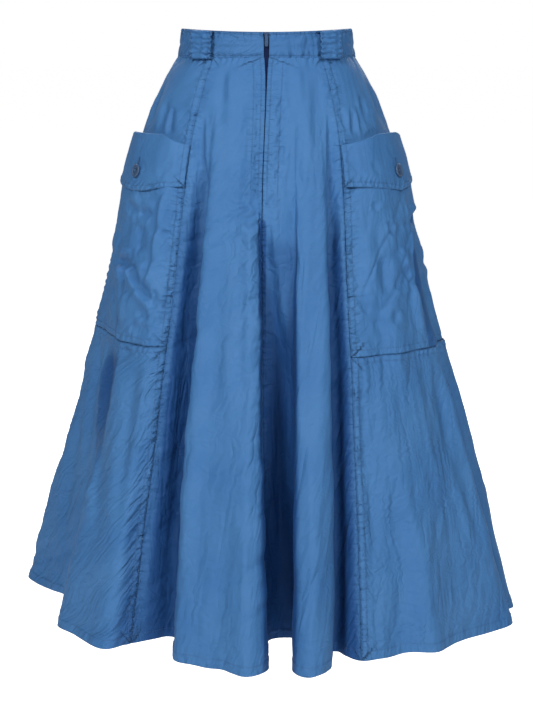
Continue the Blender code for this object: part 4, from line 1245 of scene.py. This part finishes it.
def buildButton(side, looks):
    spot, normal = flapSpot(side)
    place = frameOn(spot + normal * buttonSizes["clear"], normal)
    radius, thick, spread = buttonSizes["radius"], buttonSizes["thick"], buttonSizes["holeSpread"]
    body = bmesh.new()
    verts = [body.verts.new((radius * r, 0.0, thick * z)) for r, z in buttonSection]
    edges = [body.edges.new(pair) for pair in zip(verts, verts[1:])]
    bmesh.ops.spin(body, geom=verts + edges, cent=(0, 0, 0), axis=(0, 0, 1), angle=2 * math.pi,
                   steps=48, use_merge=True)
    bmesh.ops.remove_doubles(body, verts=body.verts, dist=0.00002)
    body.transform(place)
    newPiece("button_disc_" + side, body, looks["button"], ["button_" + side])

    # the four holes, as dark sunken discs painted with the shade inside them, and the thread crossed
    # through them
    holes = bmesh.new()
    for x in (-1, 1):
        for y in (-1, 1):
            shift = Matrix.Translation((x * spread, y * spread, thick * 0.72))
            tube(holes, place @ shift, buttonSizes["hole"], 0.0004, 20)
    newPiece("button_holes_" + side, holes, looks["shadow"], smooth=False)
    thread = bmesh.new()
    for turn in (45, 135):
        for lift in (-0.00032, 0.00032):
            shift = Matrix.Rotation(math.radians(turn), 4, "Z") @ Matrix.Translation(
                (0, lift, thick * 0.84)) @ lying
            tube(thread, place @ shift, buttonSizes["thread"], spread * 2.9, 8)
    newPiece("button_thread_" + side, thread, looks["thread"])


# ---- stitching
stitchSizes = {
    "pitch": 0.0034,
    "length": 0.0027,
    "wide": 0.00050,
    "proud": 0.00022,
}


def lineAt(name, edge, gap, start, end):
    # A line on a finished cloth piece, at a set distance from one of its edges.
    grid = grids[name]
    spots, normals, across, down = (grid[k] for k in ("spots", "normals", "across", "down"))
    made = []
    if edge in ("left", "right"):
        reach = across if edge == "left" else across[:, -1:] - across
        for row in range(spots.shape[0]):
            line = reach[row] if edge == "left" else reach[row][::-1]
            source = spots[row] if edge == "left" else spots[row][::-1]
            made.append([np.interp(gap, line, source[:, n]) for n in range(3)])
        along = down.mean(axis=1)
        faces = normals[:, 4 if edge == "left" else -5]
    else:
        reach = down if edge == "top" else down[-1:] - down
        for column in range(spots.shape[1]):
            line = reach[:, column] if edge == "top" else reach[:, column][::-1]
            source = spots[:, column] if edge == "top" else spots[:, column][::-1]
            made.append([np.interp(gap, line, source[:, n]) for n in range(3)])
        along = across.mean(axis=0)
        faces = normals[np.argmin(np.abs(reach[:, 0] - gap))]
    made = np.array(made)
    end = along[-1] if end is None else end
    kept = (along >= start) & (along <= end)
    return made[kept], faces[kept]


def stitchMesh():
    body = bmesh.new()
    bmesh.ops.create_cube(body, size=1.0)
    for vert in body.verts:
        if vert.co.z > 0:
            vert.co.x *= 0.62
            vert.co.y *= 0.55
    body.transform(Matrix.Diagonal((stitchSizes["length"], stitchSizes["wide"], stitchSizes["proud"] * 2,
                                    1.0)))
    bmesh.ops.recalc_face_normals(body, faces=body.faces)
    return meshFrom("oneStitch", body)


def copiesOf(name, mesh, frames, look):
    # Many copies of one small mesh, joined: frames is a stack of 3 x 4 places.
    points = np.zeros(len(mesh.vertices) * 3, np.float32)
    mesh.vertices.foreach_get("co", points)
    points = points.reshape(-1, 3).astype(float)
    corners = np.zeros(len(mesh.loops), np.int32)
    mesh.loops.foreach_get("vertex_index", corners)
    starts = np.zeros(len(mesh.polygons), np.int32)
    mesh.polygons.foreach_get("loop_start", starts)
    many = len(frames)
    placed = np.einsum("nij,pj->npi", frames[:, :, :3], points) + frames[:, None, :, 3]
    joined = bpy.data.meshes.new(name)
    joined.vertices.add(many * len(points))
    joined.vertices.foreach_set("co", placed.reshape(-1).astype(np.float32))
    joined.loops.add(many * len(corners))
    offset = np.arange(many)[:, None]
    joined.loops.foreach_set("vertex_index", (corners[None] + offset * len(points)).reshape(-1))
    joined.polygons.add(many * len(starts))
    joined.polygons.foreach_set("loop_start", (starts[None] + offset * len(corners)).reshape(-1))
    joined.update(calc_edges=True)
    joined.validate()
    addPiece(name, joined, look, (), "garment", True)


def framesAlong(line, normals, pitch, lift):
    # Places at an even pitch along a line, X along it and Z out of the cloth.
    along = lengthAlong(line)
    at = np.arange(pitch * 0.6, along[-1] - pitch * 0.4, pitch)
    if len(at) < 2:
        return np.zeros((0, 3, 4))
    spot = np.stack([np.interp(at, along, line[:, n]) for n in range(3)], axis=1)
    ahead = np.stack([np.interp(at + pitch * 0.3, along, line[:, n]) for n in range(3)], axis=1)
    behind = np.stack([np.interp(at - pitch * 0.3, along, line[:, n]) for n in range(3)], axis=1)
    normal = unit(np.stack([np.interp(at, along, normals[:, n]) for n in range(3)], axis=1))
    x = unit(ahead - behind)
    z = unit(normal - x * np.einsum("ij,ij->i", normal, x)[:, None])
    y = np.cross(z, x)
    return np.stack([x, y, z, spot + z * lift], axis=2)


def runs(edge, gaps, start=0, end=None):
    # Stitch lines at these distances from an edge, from one place along it to another.
    return [(edge, gap, start, end) for gap in gaps]


def pocketRuns(front, back):
    return (runs(front, pocketStitches, 0.03) + runs(back, pocketStitches, 0.03)
            + runs("foot", pocketStitches[1:]))


def sideRuns(gap, start, end=None):
    return runs("left", [gap], start, end) + runs("right", [gap], start, end)


flapRuns = sideRuns(flapStitch, 0.004) + runs("foot", [flapStitch])
zipRuns = {
    "left": [("left", zipStitches["left"][0], 0, 0.165), ("left", zipStitches["left"][1], 0.035, 0.165)],
    "right": [("right", zipStitches["right"][0], 0, 0.165), ("right", zipStitches["right"][1], 0, 0.172)],
}
yokeRuns = runs("top", [0.0016, 0.0078])
hemRuns = runs("foot", [hemStitch])
stitchLines = {
    # the piece that carries them, and its stitch lines
    "side_panel_upper_left": runs("right", felled[:1]),
    "side_panel_upper_right": runs("left", felled[:1]),
    "side_panel_lower_left": runs("left", felled) + yokeRuns + hemRuns,
    "side_panel_lower_right": runs("right", felled) + yokeRuns + hemRuns,
    "front_panel_left": zipRuns["left"] + hemRuns,
    "front_panel_right": zipRuns["right"] + hemRuns,
    "back_panel": runs("left", felled) + runs("right", felled) + hemRuns,
    "pocket_left": pocketRuns("left", "right"),
    "pocket_right": pocketRuns("right", "left"),
    "pocket_flap_left": flapRuns,
    "pocket_flap_right": flapRuns,
    "waistband": runs("top", [bandStitch]) + runs("foot", [bandStitch]),
}
for looped in loopPlaces:
    stitchLines[looped] = sideRuns(loopStitch, 0.008, 0.056)


def buildStitches(look):
    one = stitchMesh()
    for name, lines in stitchLines.items():
        frames = []
        for edge, gap, start, end in lines:
            line, normals = lineAt("cloth_" + name, edge, gap, start, end)
            frames.append(framesAlong(line, normals, stitchSizes["pitch"], stitchSizes["proud"] * 0.35))
        copiesOf("stitches_" + name, one, np.concatenate(frames), look)
    for side in ("left", "right"):
        # the buttonhole, worked over its edge in short bars beside the slit
        spot, normal = flapSpot(side)
        x, y, z = np.array(frameOn(spot, normal))[:3, :3].T
        bars = []
        for n in range(22):
            for edge in (-1, 1):
                centre = spot + y * (0.0092 + n * 0.00042) + x * edge * 0.0008 + z * 0.0006
                bars.append(np.stack([x * 0.62, y * 0.8, z, centre], axis=1))
        copiesOf("buttonhole_" + side, one, np.array(bars), look)
    bpy.data.meshes.remove(one)


# ---- zip
zipSizes = {
    "foot": 0.195,           # the level of the tape's lower end
    "tapeHalf": 0.011,
    "tapeSunk": 0.0031,      # behind the band's outer face
    "tapeWall": 0.0007,
    "toothPitch": 0.00125,
    "tooth": 0.00042,        # radius and length of one
    "toothLength": 0.0026,
    "toothTilt": 0.35,
    "toothShift": 0.0008,
    "sliderWidth": 0.0058,
    "sliderTop": 0.0135,
    "sliderLength": 0.0085,
    "pullLength": 0.0150,
    "pullWidth": 0.0044,
}


def zipLine(count):
    # The middle of the tape: down the band's opening, then behind the front edges.
    spots = []
    for high in np.linspace(0.94, 0.06, count // 5):
        spots.append(bandPoint(np.array(0.0), np.array(high), -bandSizes["wall"] - 0.0009)[0])
    for level in np.linspace(0.03, zipSizes["foot"], count - count // 5):
        depth = halfSizes(np.array(level))[1]
        extra = 0.0017 * (1 - ease(level / 0.06))
        drift = -centreFront["drift"] * ease(level / centreFront["driftLevel"])
        z = skirtSizes["seamHeight"] + skirtSizes["seamRise"]
        z = z + (skirtSizes["hemHeight"] - z) * level
        spots.append(np.array([float(drift), float(-depth + 0.0018 + extra), z]))
    return np.array(spots)


def buildZip(looks):
    line = zipLine(90)
    seam = skirtSizes["seamHeight"] + skirtSizes["seamRise"]
    shares = np.linspace(-1, 1, 15)
    spots = np.zeros((len(line), len(shares), 3))
    for row, centre in enumerate(line):
        high = (centre[2] - skirtSizes["seamHeight"]) / bandSizes["tall"]
        if high > 0.03:
            angle = np.degrees(shares * zipSizes["tapeHalf"] / bandSizes["frontRadius"])
            spots[row] = bandPoint(angle, np.full(len(shares), high), -zipSizes["tapeSunk"])[0]
        else:
            level = (centre[2] - seam) / (skirtSizes["hemHeight"] - seam)
            width, depth = halfSizes(np.array(level))
            turn = shares * zipSizes["tapeHalf"] / width
            spots[row, :, 0] = width * np.sin(turn) + centre[0]
            spots[row, :, 1] = centre[1] + depth * (1 - np.cos(turn))
            spots[row, :, 2] = centre[2]
    clothPiece("cloth_zip_tape", spots, looks["tape"], zipSizes["tapeWall"], ["zip_tape"])
    one = bmesh.new()
    tube(one, lying, zipSizes["tooth"], zipSizes["toothLength"], 6)
    mesh = meshFrom("oneTooth", one)
    along = lengthAlong(line)
    at = np.arange(0.003, along[-1] - 0.003, zipSizes["toothPitch"])
    frames = []
    for n, place in enumerate(at):
        spot = np.array([np.interp(place, along, line[:, k]) for k in range(3)])
        way = 1 if n % 2 else -1
        tilt = way * zipSizes["toothTilt"]
        x = np.array((math.cos(tilt), 0, math.sin(tilt)))
        z = np.array((-math.sin(tilt), 0, math.cos(tilt)))
        y = np.cross(z, x)
        shift = np.array((way * zipSizes["toothShift"], -0.00045, 0))
        frames.append(np.stack([x, y, z, spot + shift], axis=1))
    copiesOf("zip_coil", mesh, np.array(frames), looks["tape"])
    bpy.data.meshes.remove(mesh)


def roundedPlate(body, outline, depth, place, edge):
    # A flat plate from its outline, with softened edges.
    ring = [body.verts.new((x, 0.0, z)) for x, z in outline]
    plate = body.faces.new(ring)
    raised = bmesh.ops.extrude_face_region(body, geom=[plate])["geom"]
    moved = [v for v in raised if isinstance(v, bmesh.types.BMVert)]
    bmesh.ops.translate(body, verts=moved, vec=(0, depth, 0))
    fresh = ring + moved
    edges = list({e for v in fresh for e in v.link_edges})
    bmesh.ops.recalc_face_normals(body, faces=list({f for v in fresh for f in v.link_faces}))
    rims = bmesh.ops.bevel(body, geom=edges, offset=edge, segments=2, affect="EDGES", profile=0.5,
                           material=-1)["faces"]
    verts = list({v for f in rims for v in f.verts} | {v for v in fresh if v.is_valid})
    bmesh.ops.transform(body, matrix=place, verts=verts)


def buildSlider(looks):
    face = float(bandPoint(np.array(0.0), np.array(0.9))[0][1])
    top, length, half = zipSizes["sliderTop"], zipSizes["sliderLength"], zipSizes["sliderWidth"] / 2
    body = bmesh.new()
    outline = [(-half, 0), (half, 0), (half, -length * 0.55), (half * 0.62, -length),
               (-half * 0.62, -length), (-half, -length * 0.55)]
    # the front plate, and the one behind the tape
    for behind, thick, edge in ((-0.0013, 0.0011, 0.00035), (0.0008, 0.0010, 0.0003)):
        roundedPlate(body, outline, thick, Matrix.Translation((-0.0001, face + behind, top)), edge)
    bridge = Matrix.Translation((-0.0001, face + 0.0003, top - 0.0016))
    box(body, bridge, 0.0018, 0.0024, 0.0026)
    hinge = Vector((-0.0001, face - 0.0034, top - 0.0022))
    for side in (-1, 1):
        ear = Matrix.Translation(hinge + Vector((side * 0.0021, 0.0008, 0)))
        box(body, ear, 0.0007, 0.0030, 0.0022)
        cap = Matrix.Translation(hinge + Vector((side * 0.0021, -0.0004, 0)))
        tube(body, cap @ lying, 0.0011, 0.0007, 20)
    tube(body, Matrix.Translation(hinge) @ lying, 0.0006, 0.0044, 16)
    newPiece("slider_body", body, looks["metal"], ["zip_slider"], smooth=False)

    pull = bmesh.new()
    wide, foot = zipSizes["pullWidth"] / 2, zipSizes["pullLength"]
    outline = [(-0.0013, -0.0014), (-0.0013, -0.0030), (-wide, -0.0048), (-wide, -foot),
               (-0.0012, -foot - 0.0012), (0.0012, -foot - 0.0012), (wide, -foot), (wide, -0.0048),
               (0.0013, -0.0030), (0.0013, -0.0014)]
    roundedPlate(pull, outline, 0.0010, Matrix.Translation(hinge + Vector((0, -0.0011, 0))), 0.00028)
    plate = set(pull.verts)
    # the eye that turns on the bar, spun round it
    section = [(-0.0014, 0.0009), (0.0014, 0.0009), (0.0014, 0.0015), (0.0011, 0.0017), (-0.0011, 0.0017),
               (-0.0014, 0.0015)]
    ring = [pull.verts.new((x, 0.0, r)) for x, r in section]
    edges = [pull.edges.new((a, b)) for a, b in zip(ring, ring[1:] + ring[:1])]
    bmesh.ops.spin(pull, geom=ring + edges, cent=(0, 0, 0), axis=(1, 0, 0), angle=2 * math.pi,
                   steps=28, use_merge=True)
    bmesh.ops.translate(pull, verts=[vert for vert in pull.verts if vert not in plate], vec=hinge)
    newPiece("slider_pull", pull, looks["metal"], ["zip_pull"], rides="zip_pull_tab",
             smooth=False)


# ---- materials
clothLook = {
    # a deeper, the main and a paler blue
    "shades": ((0.050, 0.172, 0.415, 1.0), (0.060, 0.192, 0.438, 1.0), (0.072, 0.212, 0.466, 1.0)),
    "tonePlaces": (0.30, 0.5, 0.72),  # where the slow noise turns from one into the next
    "between": (0.86, 1.06),          # how much of the colour is left between threads and on them
    "specular": 0.18,
    "sheenRoughness": 0.45,
    "sheenTint": (0.62, 0.78, 1.0, 1.0),
    "weavePitch": 0.00062,
    "roughness": 0.56,
    "rippleLength": 0.0066,
    "rippleHeight": 2.8,      # millimetres
    "rippleRate": 62.0,       # ripples to the metre, going away from the seam
    "grooveWide": 0.0008,     # metres
    "grooveDeep": 0.4,        # millimetres
    "lineShade": 0.25,
    # the painted shade: the tint it multiplies into the colour, and the attribute's values where it starts
    # and where it is full
    "paintedShadeTint": (0.26, 0.40, 0.56, 1.0),
    "paintedShadeFrom": 0.10,
    "paintedShadeTo": 0.58,
    "creaseBump": 0.85,
    "creaseHeight": 0.0020,
}
weaveLook = {
    "slub": (2400.0, 160.0, 1.0),  # thick and thin places to the metre, across and down
    "slubShare": 0.8,
    "crush": 0.9,
    "sharp": 5.0,
    "toneScale": 9.0,
    "creases": [
        # to the metre across and down, and share of the relief
        ((40.0, 9.5, 1.0), 0.9),
        ((22.0, 5.0, 1.0), 1.2),
        ((30.0, 44.0, 1.0), 0.5),
    ],
}


def newMaterial(name):
    look = bpy.data.materials.new(name)
    look.use_nodes = True
    tree = look.node_tree
    return look, tree, tree.nodes["Principled BSDF"]


def setSocket(tree, socket, value):
    # A link where the value is another node's socket, and a constant otherwise.
    if isinstance(value, bpy.types.NodeSocket):
        tree.links.new(value, socket)
    else:
        socket.default_value = value


def mathsIn(tree):
    def maths(operation, first, second=None):
        node = tree.nodes.new("ShaderNodeMath")
        node.operation = operation
        for n, value in enumerate((first, second)):
            if value is not None:
                setSocket(tree, node.inputs[n], value)
        return node.outputs[0]

    return maths


def noiseOf(tree, vector, scale, detail, distortion=0.0):
    node = tree.nodes.new("ShaderNodeTexNoise")
    for label, value in (("Scale", scale), ("Detail", detail), ("Distortion", distortion)):
        node.inputs[label].default_value = value
    tree.links.new(vector, node.inputs["Vector"])
    return node.outputs["Fac"]


def scaled(tree, vector, factors):
    node = tree.nodes.new("ShaderNodeVectorMath")
    node.operation = "MULTIPLY"
    node.inputs[1].default_value = factors
    tree.links.new(vector, node.inputs[0])
    return node.outputs[0]


def rampOf(tree, value, stops):
    # Colours at their places from 0 to 1.
    node = tree.nodes.new("ShaderNodeValToRGB")
    elements = node.color_ramp.elements
    for element, (place, colour) in zip(elements, (stops[0], stops[-1])):
        element.position = place
        element.color = colour
    for place, colour in stops[1:-1]:
        elements.new(place).color = colour
    tree.links.new(value, node.inputs[0])
    return node.outputs["Color"]


def rangeOf(tree, value, low, high, fromLow=0.0, fromHigh=1.0, smooth=False):
    node = tree.nodes.new("ShaderNodeMapRange")
    if smooth:
        node.interpolation_type = "SMOOTHSTEP"
    for label, number in (("From Min", fromLow), ("From Max", fromHigh), ("To Min", low), ("To Max", high)):
        node.inputs[label].default_value = number
    tree.links.new(value, node.inputs["Value"])
    return node.outputs["Result"]


def multiplied(tree, factor, first, second):
    node = tree.nodes.new("ShaderNodeMix")
    node.data_type = "RGBA"
    node.blend_type = "MULTIPLY"
    for label, value in (("Factor", factor), ("A", first), ("B", second)):
        setSocket(tree, node.inputs[label], value)
    return node.outputs["Result"]


def bumped(tree, height, strength, distance, below=None):
    node = tree.nodes.new("ShaderNodeBump")
    node.inputs["Strength"].default_value = strength
    node.inputs["Distance"].default_value = distance
    tree.links.new(height, node.inputs["Height"])
    if below:
        tree.links.new(below, node.inputs["Normal"])
    return node.outputs[0]


def attributeOf(tree, label, output="Fac"):
    node = tree.nodes.new("ShaderNodeAttribute")
    node.attribute_name = label
    return node.outputs[output]


def newGroup(name, inputs, outputs):
    # A node group with its sockets, given as label and kind.
    group = bpy.data.node_groups.new(name, "ShaderNodeTree")
    for way, sockets in (("INPUT", inputs), ("OUTPUT", outputs)):
        for label, kind in sockets:
            group.interface.new_socket(name=label, in_out=way, socket_type="NodeSocket" + kind)
    return group, group.nodes.new("NodeGroupInput").outputs, group.nodes.new("NodeGroupOutput").inputs


def separated(tree, vector):
    node = tree.nodes.new("ShaderNodeSeparateXYZ")
    tree.links.new(vector, node.inputs[0])
    return node.outputs


def weaveGroup():
    # Woven threads and the fine long creases of washed cotton, from a sheet's own UV in metres.
    group, start, end = newGroup("wovenCotton", [("Sheet", "Vector"), ("Thread Pitch", "Float")],
                                 [("Threads", "Float"), ("Creases", "Float"), ("Tone", "Float")])
    maths, sheet = mathsIn(group), start["Sheet"]
    across, down, _ = separated(group, sheet)
    rate = maths("DIVIDE", 2 * math.pi, start["Thread Pitch"])
    warp = maths("SINE", maths("MULTIPLY", across, rate))
    weft = maths("SINE", maths("MULTIPLY", down, rate))
    slub = noiseOf(group, scaled(group, sheet, weaveLook["slub"]), 1.0, 2.0)
    threads = maths("ADD", maths("MULTIPLY", warp, weft), maths("MULTIPLY", slub, weaveLook["slubShare"]))
    creases = None
    for factors, share in weaveLook["creases"]:
        crush = noiseOf(group, scaled(group, sheet, factors), 1.0, 2.0, weaveLook["crush"])
        # a thin crease where the noise crosses its middle value
        ridge = maths("ABSOLUTE", maths("SUBTRACT", crush, 0.5))
        ridge = maths("MINIMUM", maths("MULTIPLY", ridge, weaveLook["sharp"]), 1.0)
        part = maths("MULTIPLY", ridge, share)
        creases = part if creases is None else maths("ADD", creases, part)
    tone = noiseOf(group, sheet, weaveLook["toneScale"], 5.0)
    for label, value in (("Threads", threads), ("Creases", creases), ("Tone", tone)):
        group.links.new(value, end[label])
    return group


def seamGroup():
    # Ripples, stitch grooves and the sunk seam line, from a sheet's seam attributes in metres; its Line is
    # painted shade on the grooves and the seam line.
    group, start, end = newGroup("seamRelief", [("Place", "Vector"), ("Lines", "Vector")],
                                 [("Rise", "Float"), ("Line", "Float")])
    maths = mathsIn(group)

    def bell(value, width):
        part = maths("DIVIDE", value, width)
        return maths("EXPONENT", maths("MULTIPLY", maths("MULTIPLY", part, part), -1.0))

    far, along, reach = separated(group, start["Place"])
    one, two, amount = separated(group, start["Lines"])
    spread = group.nodes.new("ShaderNodeCombineXYZ")
    group.links.new(maths("MULTIPLY", along, 1 / clothLook["rippleLength"]), spread.inputs[0])
    group.links.new(maths("MULTIPLY", far, clothLook["rippleRate"]), spread.inputs[1])
    ripple = noiseOf(group, spread.outputs[0], 1.0, 1.5, 0.5)
    waves = maths("MULTIPLY", maths("SUBTRACT", ripple, 0.5), 2.0)
    waves = maths("MULTIPLY", maths("MULTIPLY", waves, bell(far, maths("MAXIMUM", reach, 0.001))), amount)
    dash = maths("SINE", maths("MULTIPLY", along, 2 * math.pi / stitchSizes["pitch"]))
    dash = maths("ADD", maths("MULTIPLY", dash, 0.25), 0.75)
    groove = maths("MAXIMUM", bell(maths("SUBTRACT", far, one), clothLook["grooveWide"]),
                   bell(maths("SUBTRACT", far, two), clothLook["grooveWide"]))
    groove = maths("MULTIPLY", maths("MULTIPLY", groove, dash), maths("MINIMUM", amount, 1.0))
    sunk = maths("MULTIPLY", bell(far, clothLook["grooveWide"]), maths("MINIMUM", amount, 0.6))
    rise = maths("MULTIPLY", waves, clothLook["rippleHeight"])
    rise = maths("SUBTRACT", rise, maths("MULTIPLY", groove, clothLook["grooveDeep"]))
    group.links.new(rise, end["Rise"])
    # Line: painted shade in the stitch grooves and on the sunk seam line
    group.links.new(maths("MAXIMUM", maths("MULTIPLY", groove, 0.8), sunk), end["Line"])
    return group


def clothMaterial(name, weave, seamRelief, shades, pitch, roughness, sheen):
    # shades: a deeper, the main and a paler colour
    look, tree, shader = newMaterial(name)
    links = tree.links
    sheetUv = tree.nodes.new("ShaderNodeUVMap")
    sheetUv.uv_map = "cloth"
    woven = tree.nodes.new("ShaderNodeGroup")
    woven.node_tree = weave
    woven.inputs["Thread Pitch"].default_value = pitch
    links.new(sheetUv.outputs[0], woven.inputs["Sheet"])
    seams = tree.nodes.new("ShaderNodeGroup")
    seams.node_tree = seamRelief
    for label, socket in (("seamPlace", "Place"), ("seamLines", "Lines")):
        links.new(attributeOf(tree, label, "Vector"), seams.inputs[socket])
    # the colour is darker between the threads, has painted shade on the stitch grooves and seam lines, and
    # painted shade in the folds and listed places, partly worked out from the form and partly given one by
    # one
    colour = rampOf(tree, woven.outputs["Tone"], list(zip(clothLook["tonePlaces"], shades)))
    between = rangeOf(tree, woven.outputs["Threads"], *clothLook["between"], -1.0, 1.8)
    colour = multiplied(tree, 1.0, colour, between)
    lines = rangeOf(tree, seams.outputs["Line"], 1.0, 1.0 - clothLook["lineShade"])
    colour = multiplied(tree, 1.0, colour, lines)
    deep = rangeOf(tree, attributeOf(tree, "paintedShade"), 0.0, 1.0, clothLook["paintedShadeFrom"],
                   clothLook["paintedShadeTo"], smooth=True)
    links.new(multiplied(tree, deep, colour, clothLook["paintedShadeTint"]), shader.inputs["Base Color"])
    creases = mathsIn(tree)("MULTIPLY", woven.outputs["Creases"], attributeOf(tree, "creased"))
    relief = bumped(tree, seams.outputs["Rise"], 1.0, 0.001)
    relief = bumped(tree, creases, clothLook["creaseBump"], clothLook["creaseHeight"], relief)
    relief = bumped(tree, woven.outputs["Threads"], 0.25, 0.00012, relief)
    links.new(relief, shader.inputs["Normal"])
    rough = rangeOf(tree, woven.outputs["Tone"], roughness - 0.05, roughness + 0.07)
    links.new(rough, shader.inputs["Roughness"])
    shader.inputs["Specular IOR Level"].default_value = clothLook["specular"]
    shader.inputs["Sheen Weight"].default_value = sheen
    shader.inputs["Sheen Roughness"].default_value = clothLook["sheenRoughness"]
    shader.inputs["Sheen Tint"].default_value = clothLook["sheenTint"]
    return look


def plainMaterial(name, colour, other, roughness, scale, metallic=0.0, bump=0.2):
    look, tree, shader = newMaterial(name)
    place = tree.nodes.new("ShaderNodeTexCoord")
    noise = noiseOf(tree, place.outputs["Object"], scale, 4.0)
    tree.links.new(rampOf(tree, noise, [(0.32, colour), (0.70, other)]), shader.inputs["Base Color"])
    tree.links.new(bumped(tree, noise, bump, 0.0002), shader.inputs["Normal"])
    shader.inputs["Roughness"].default_value = roughness
    shader.inputs["Metallic"].default_value = metallic
    return look


# ---- studio
studio = {
    "camera": (0.0, -2.30, 0.012),
    "tilt": 79.252,
    "lens": 86.02,
    "floor": -1.12,
    "ambient": 0.05,
}
lamps = {
    # place, height on the skirt's middle line that it aims at, size, watts
    "left": ((-1.6, -2.6, 1.9), -0.30, 0.8, 72.0),
    "right": ((1.75, -2.7, 1.9), -0.30, 1.0, 60.0),
    "front": ((0.2, -3.2, 1.0), -0.40, 1.0, 11.0),
    "rearLeft": ((-1.2, 3.2, 1.6), -0.40, 1.2, 44.0),
    "rearRight": ((1.4, 3.2, 1.6), -0.40, 1.2, 55.0),
}


def areaLight(name, place, aim, size, power):
    light = bpy.data.lights.new(name, "AREA")
    light.shape = "RECTANGLE"
    light.size = size
    light.size_y = size
    light.energy = power
    lamp = addObject(name, light)
    lamp.location = place
    lamp.rotation_euler = (Vector((0, 0, aim)) - Vector(place)).to_track_quat("-Z", "Y").to_euler()


def seenStrength(tree, lit, seen):
    # One strength for the camera's own rays and another for the light that goes round the scene.
    path = tree.nodes.new("ShaderNodeLightPath")
    return rangeOf(tree, path.outputs["Is Camera Ray"], lit, seen)


def buildStudio():
    scene = bpy.context.scene
    body = bmesh.new()
    bmesh.ops.create_grid(body, x_segments=2, y_segments=2, size=60.0)
    mesh = meshFrom("floor", body)
    mesh.transform(Matrix.Translation((0, 3.0, studio["floor"])))
    floor = addObject("floor", mesh)
    look, tree, shader = newMaterial("paleFloor")
    shader.inputs["Base Color"].default_value = (0.93, 0.93, 0.93, 1.0)
    shader.inputs["Roughness"].default_value = 0.9
    shader.inputs["Emission Color"].default_value = (1.0, 1.0, 1.0, 1.0)
    # the floor looks as pale as the backdrop, and throws little light back
    tree.links.new(seenStrength(tree, 0.05, 0.95), shader.inputs["Emission Strength"])
    mesh.materials.append(look)

    world = bpy.data.worlds.new("studioWorld")
    scene.world = world
    world.use_nodes = True
    tree = world.node_tree
    back = tree.nodes["Background"]
    back.inputs["Color"].default_value = (1.0, 1.0, 1.0, 1.0)
    tree.links.new(seenStrength(tree, studio["ambient"], 1.0), back.inputs["Strength"])

    for name, values in lamps.items():
        areaLight(name, *values)

    lens = bpy.data.cameras.new("camera")
    lens.lens = studio["lens"]
    lens.sensor_width = 36.0
    lens.clip_end = 60.0
    camera = addObject("camera", lens)
    camera.location = studio["camera"]
    camera.rotation_euler = (math.radians(studio["tilt"]), 0, 0)
    scene.camera = camera
    scene.view_settings.view_transform = "Standard"


def main():
    weave, seamRelief = weaveGroup(), seamGroup()
    navy = ((0.004, 0.008, 0.035, 1), (0.010, 0.022, 0.100, 1), (0.014, 0.030, 0.125, 1))
    looks = {
        "cloth": clothMaterial("blueCotton", weave, seamRelief, clothLook["shades"],
                               clothLook["weavePitch"], clothLook["roughness"], 0.03),
        "tape": clothMaterial("navyTape", weave, seamRelief, navy, 0.0008, 0.72, 0.05),
        "thread": plainMaterial("blueThread", (0.036, 0.115, 0.280, 1), (0.060, 0.165, 0.360, 1), 0.62,
                                900.0),
        "button": plainMaterial("blueButton", (0.040, 0.085, 0.175, 1), (0.062, 0.120, 0.225, 1), 0.52,
                                260.0, bump=0.08),
        "metal": plainMaterial("blueGreyMetal", (0.040, 0.085, 0.190, 1), (0.070, 0.130, 0.260, 1), 0.34,
                               420.0, metallic=0.35, bump=0.1),
        "shadow": plainMaterial("holeShade", (0.006, 0.014, 0.032, 1), (0.010, 0.020, 0.045, 1), 0.8,
                                500.0),
    }
    print("panels")
    buildPanels(looks["cloth"])
    print("waistband and loops")
    buildWaistband(looks["cloth"])
    for name, middle in loopPlaces.items():
        buildLoop(name, middle, looks["cloth"])
    print("pockets, flaps and buttons")
    for side in ("left", "right"):
        buildPocket(side, looks["cloth"])
        buildFlap(side, looks["cloth"])
        buildButton(side, looks)
    print("zip")
    buildZip(looks)
    buildSlider(looks)
    print("stitching")
    buildStitches(looks["thread"])
    print("studio")
    buildStudio()


main()
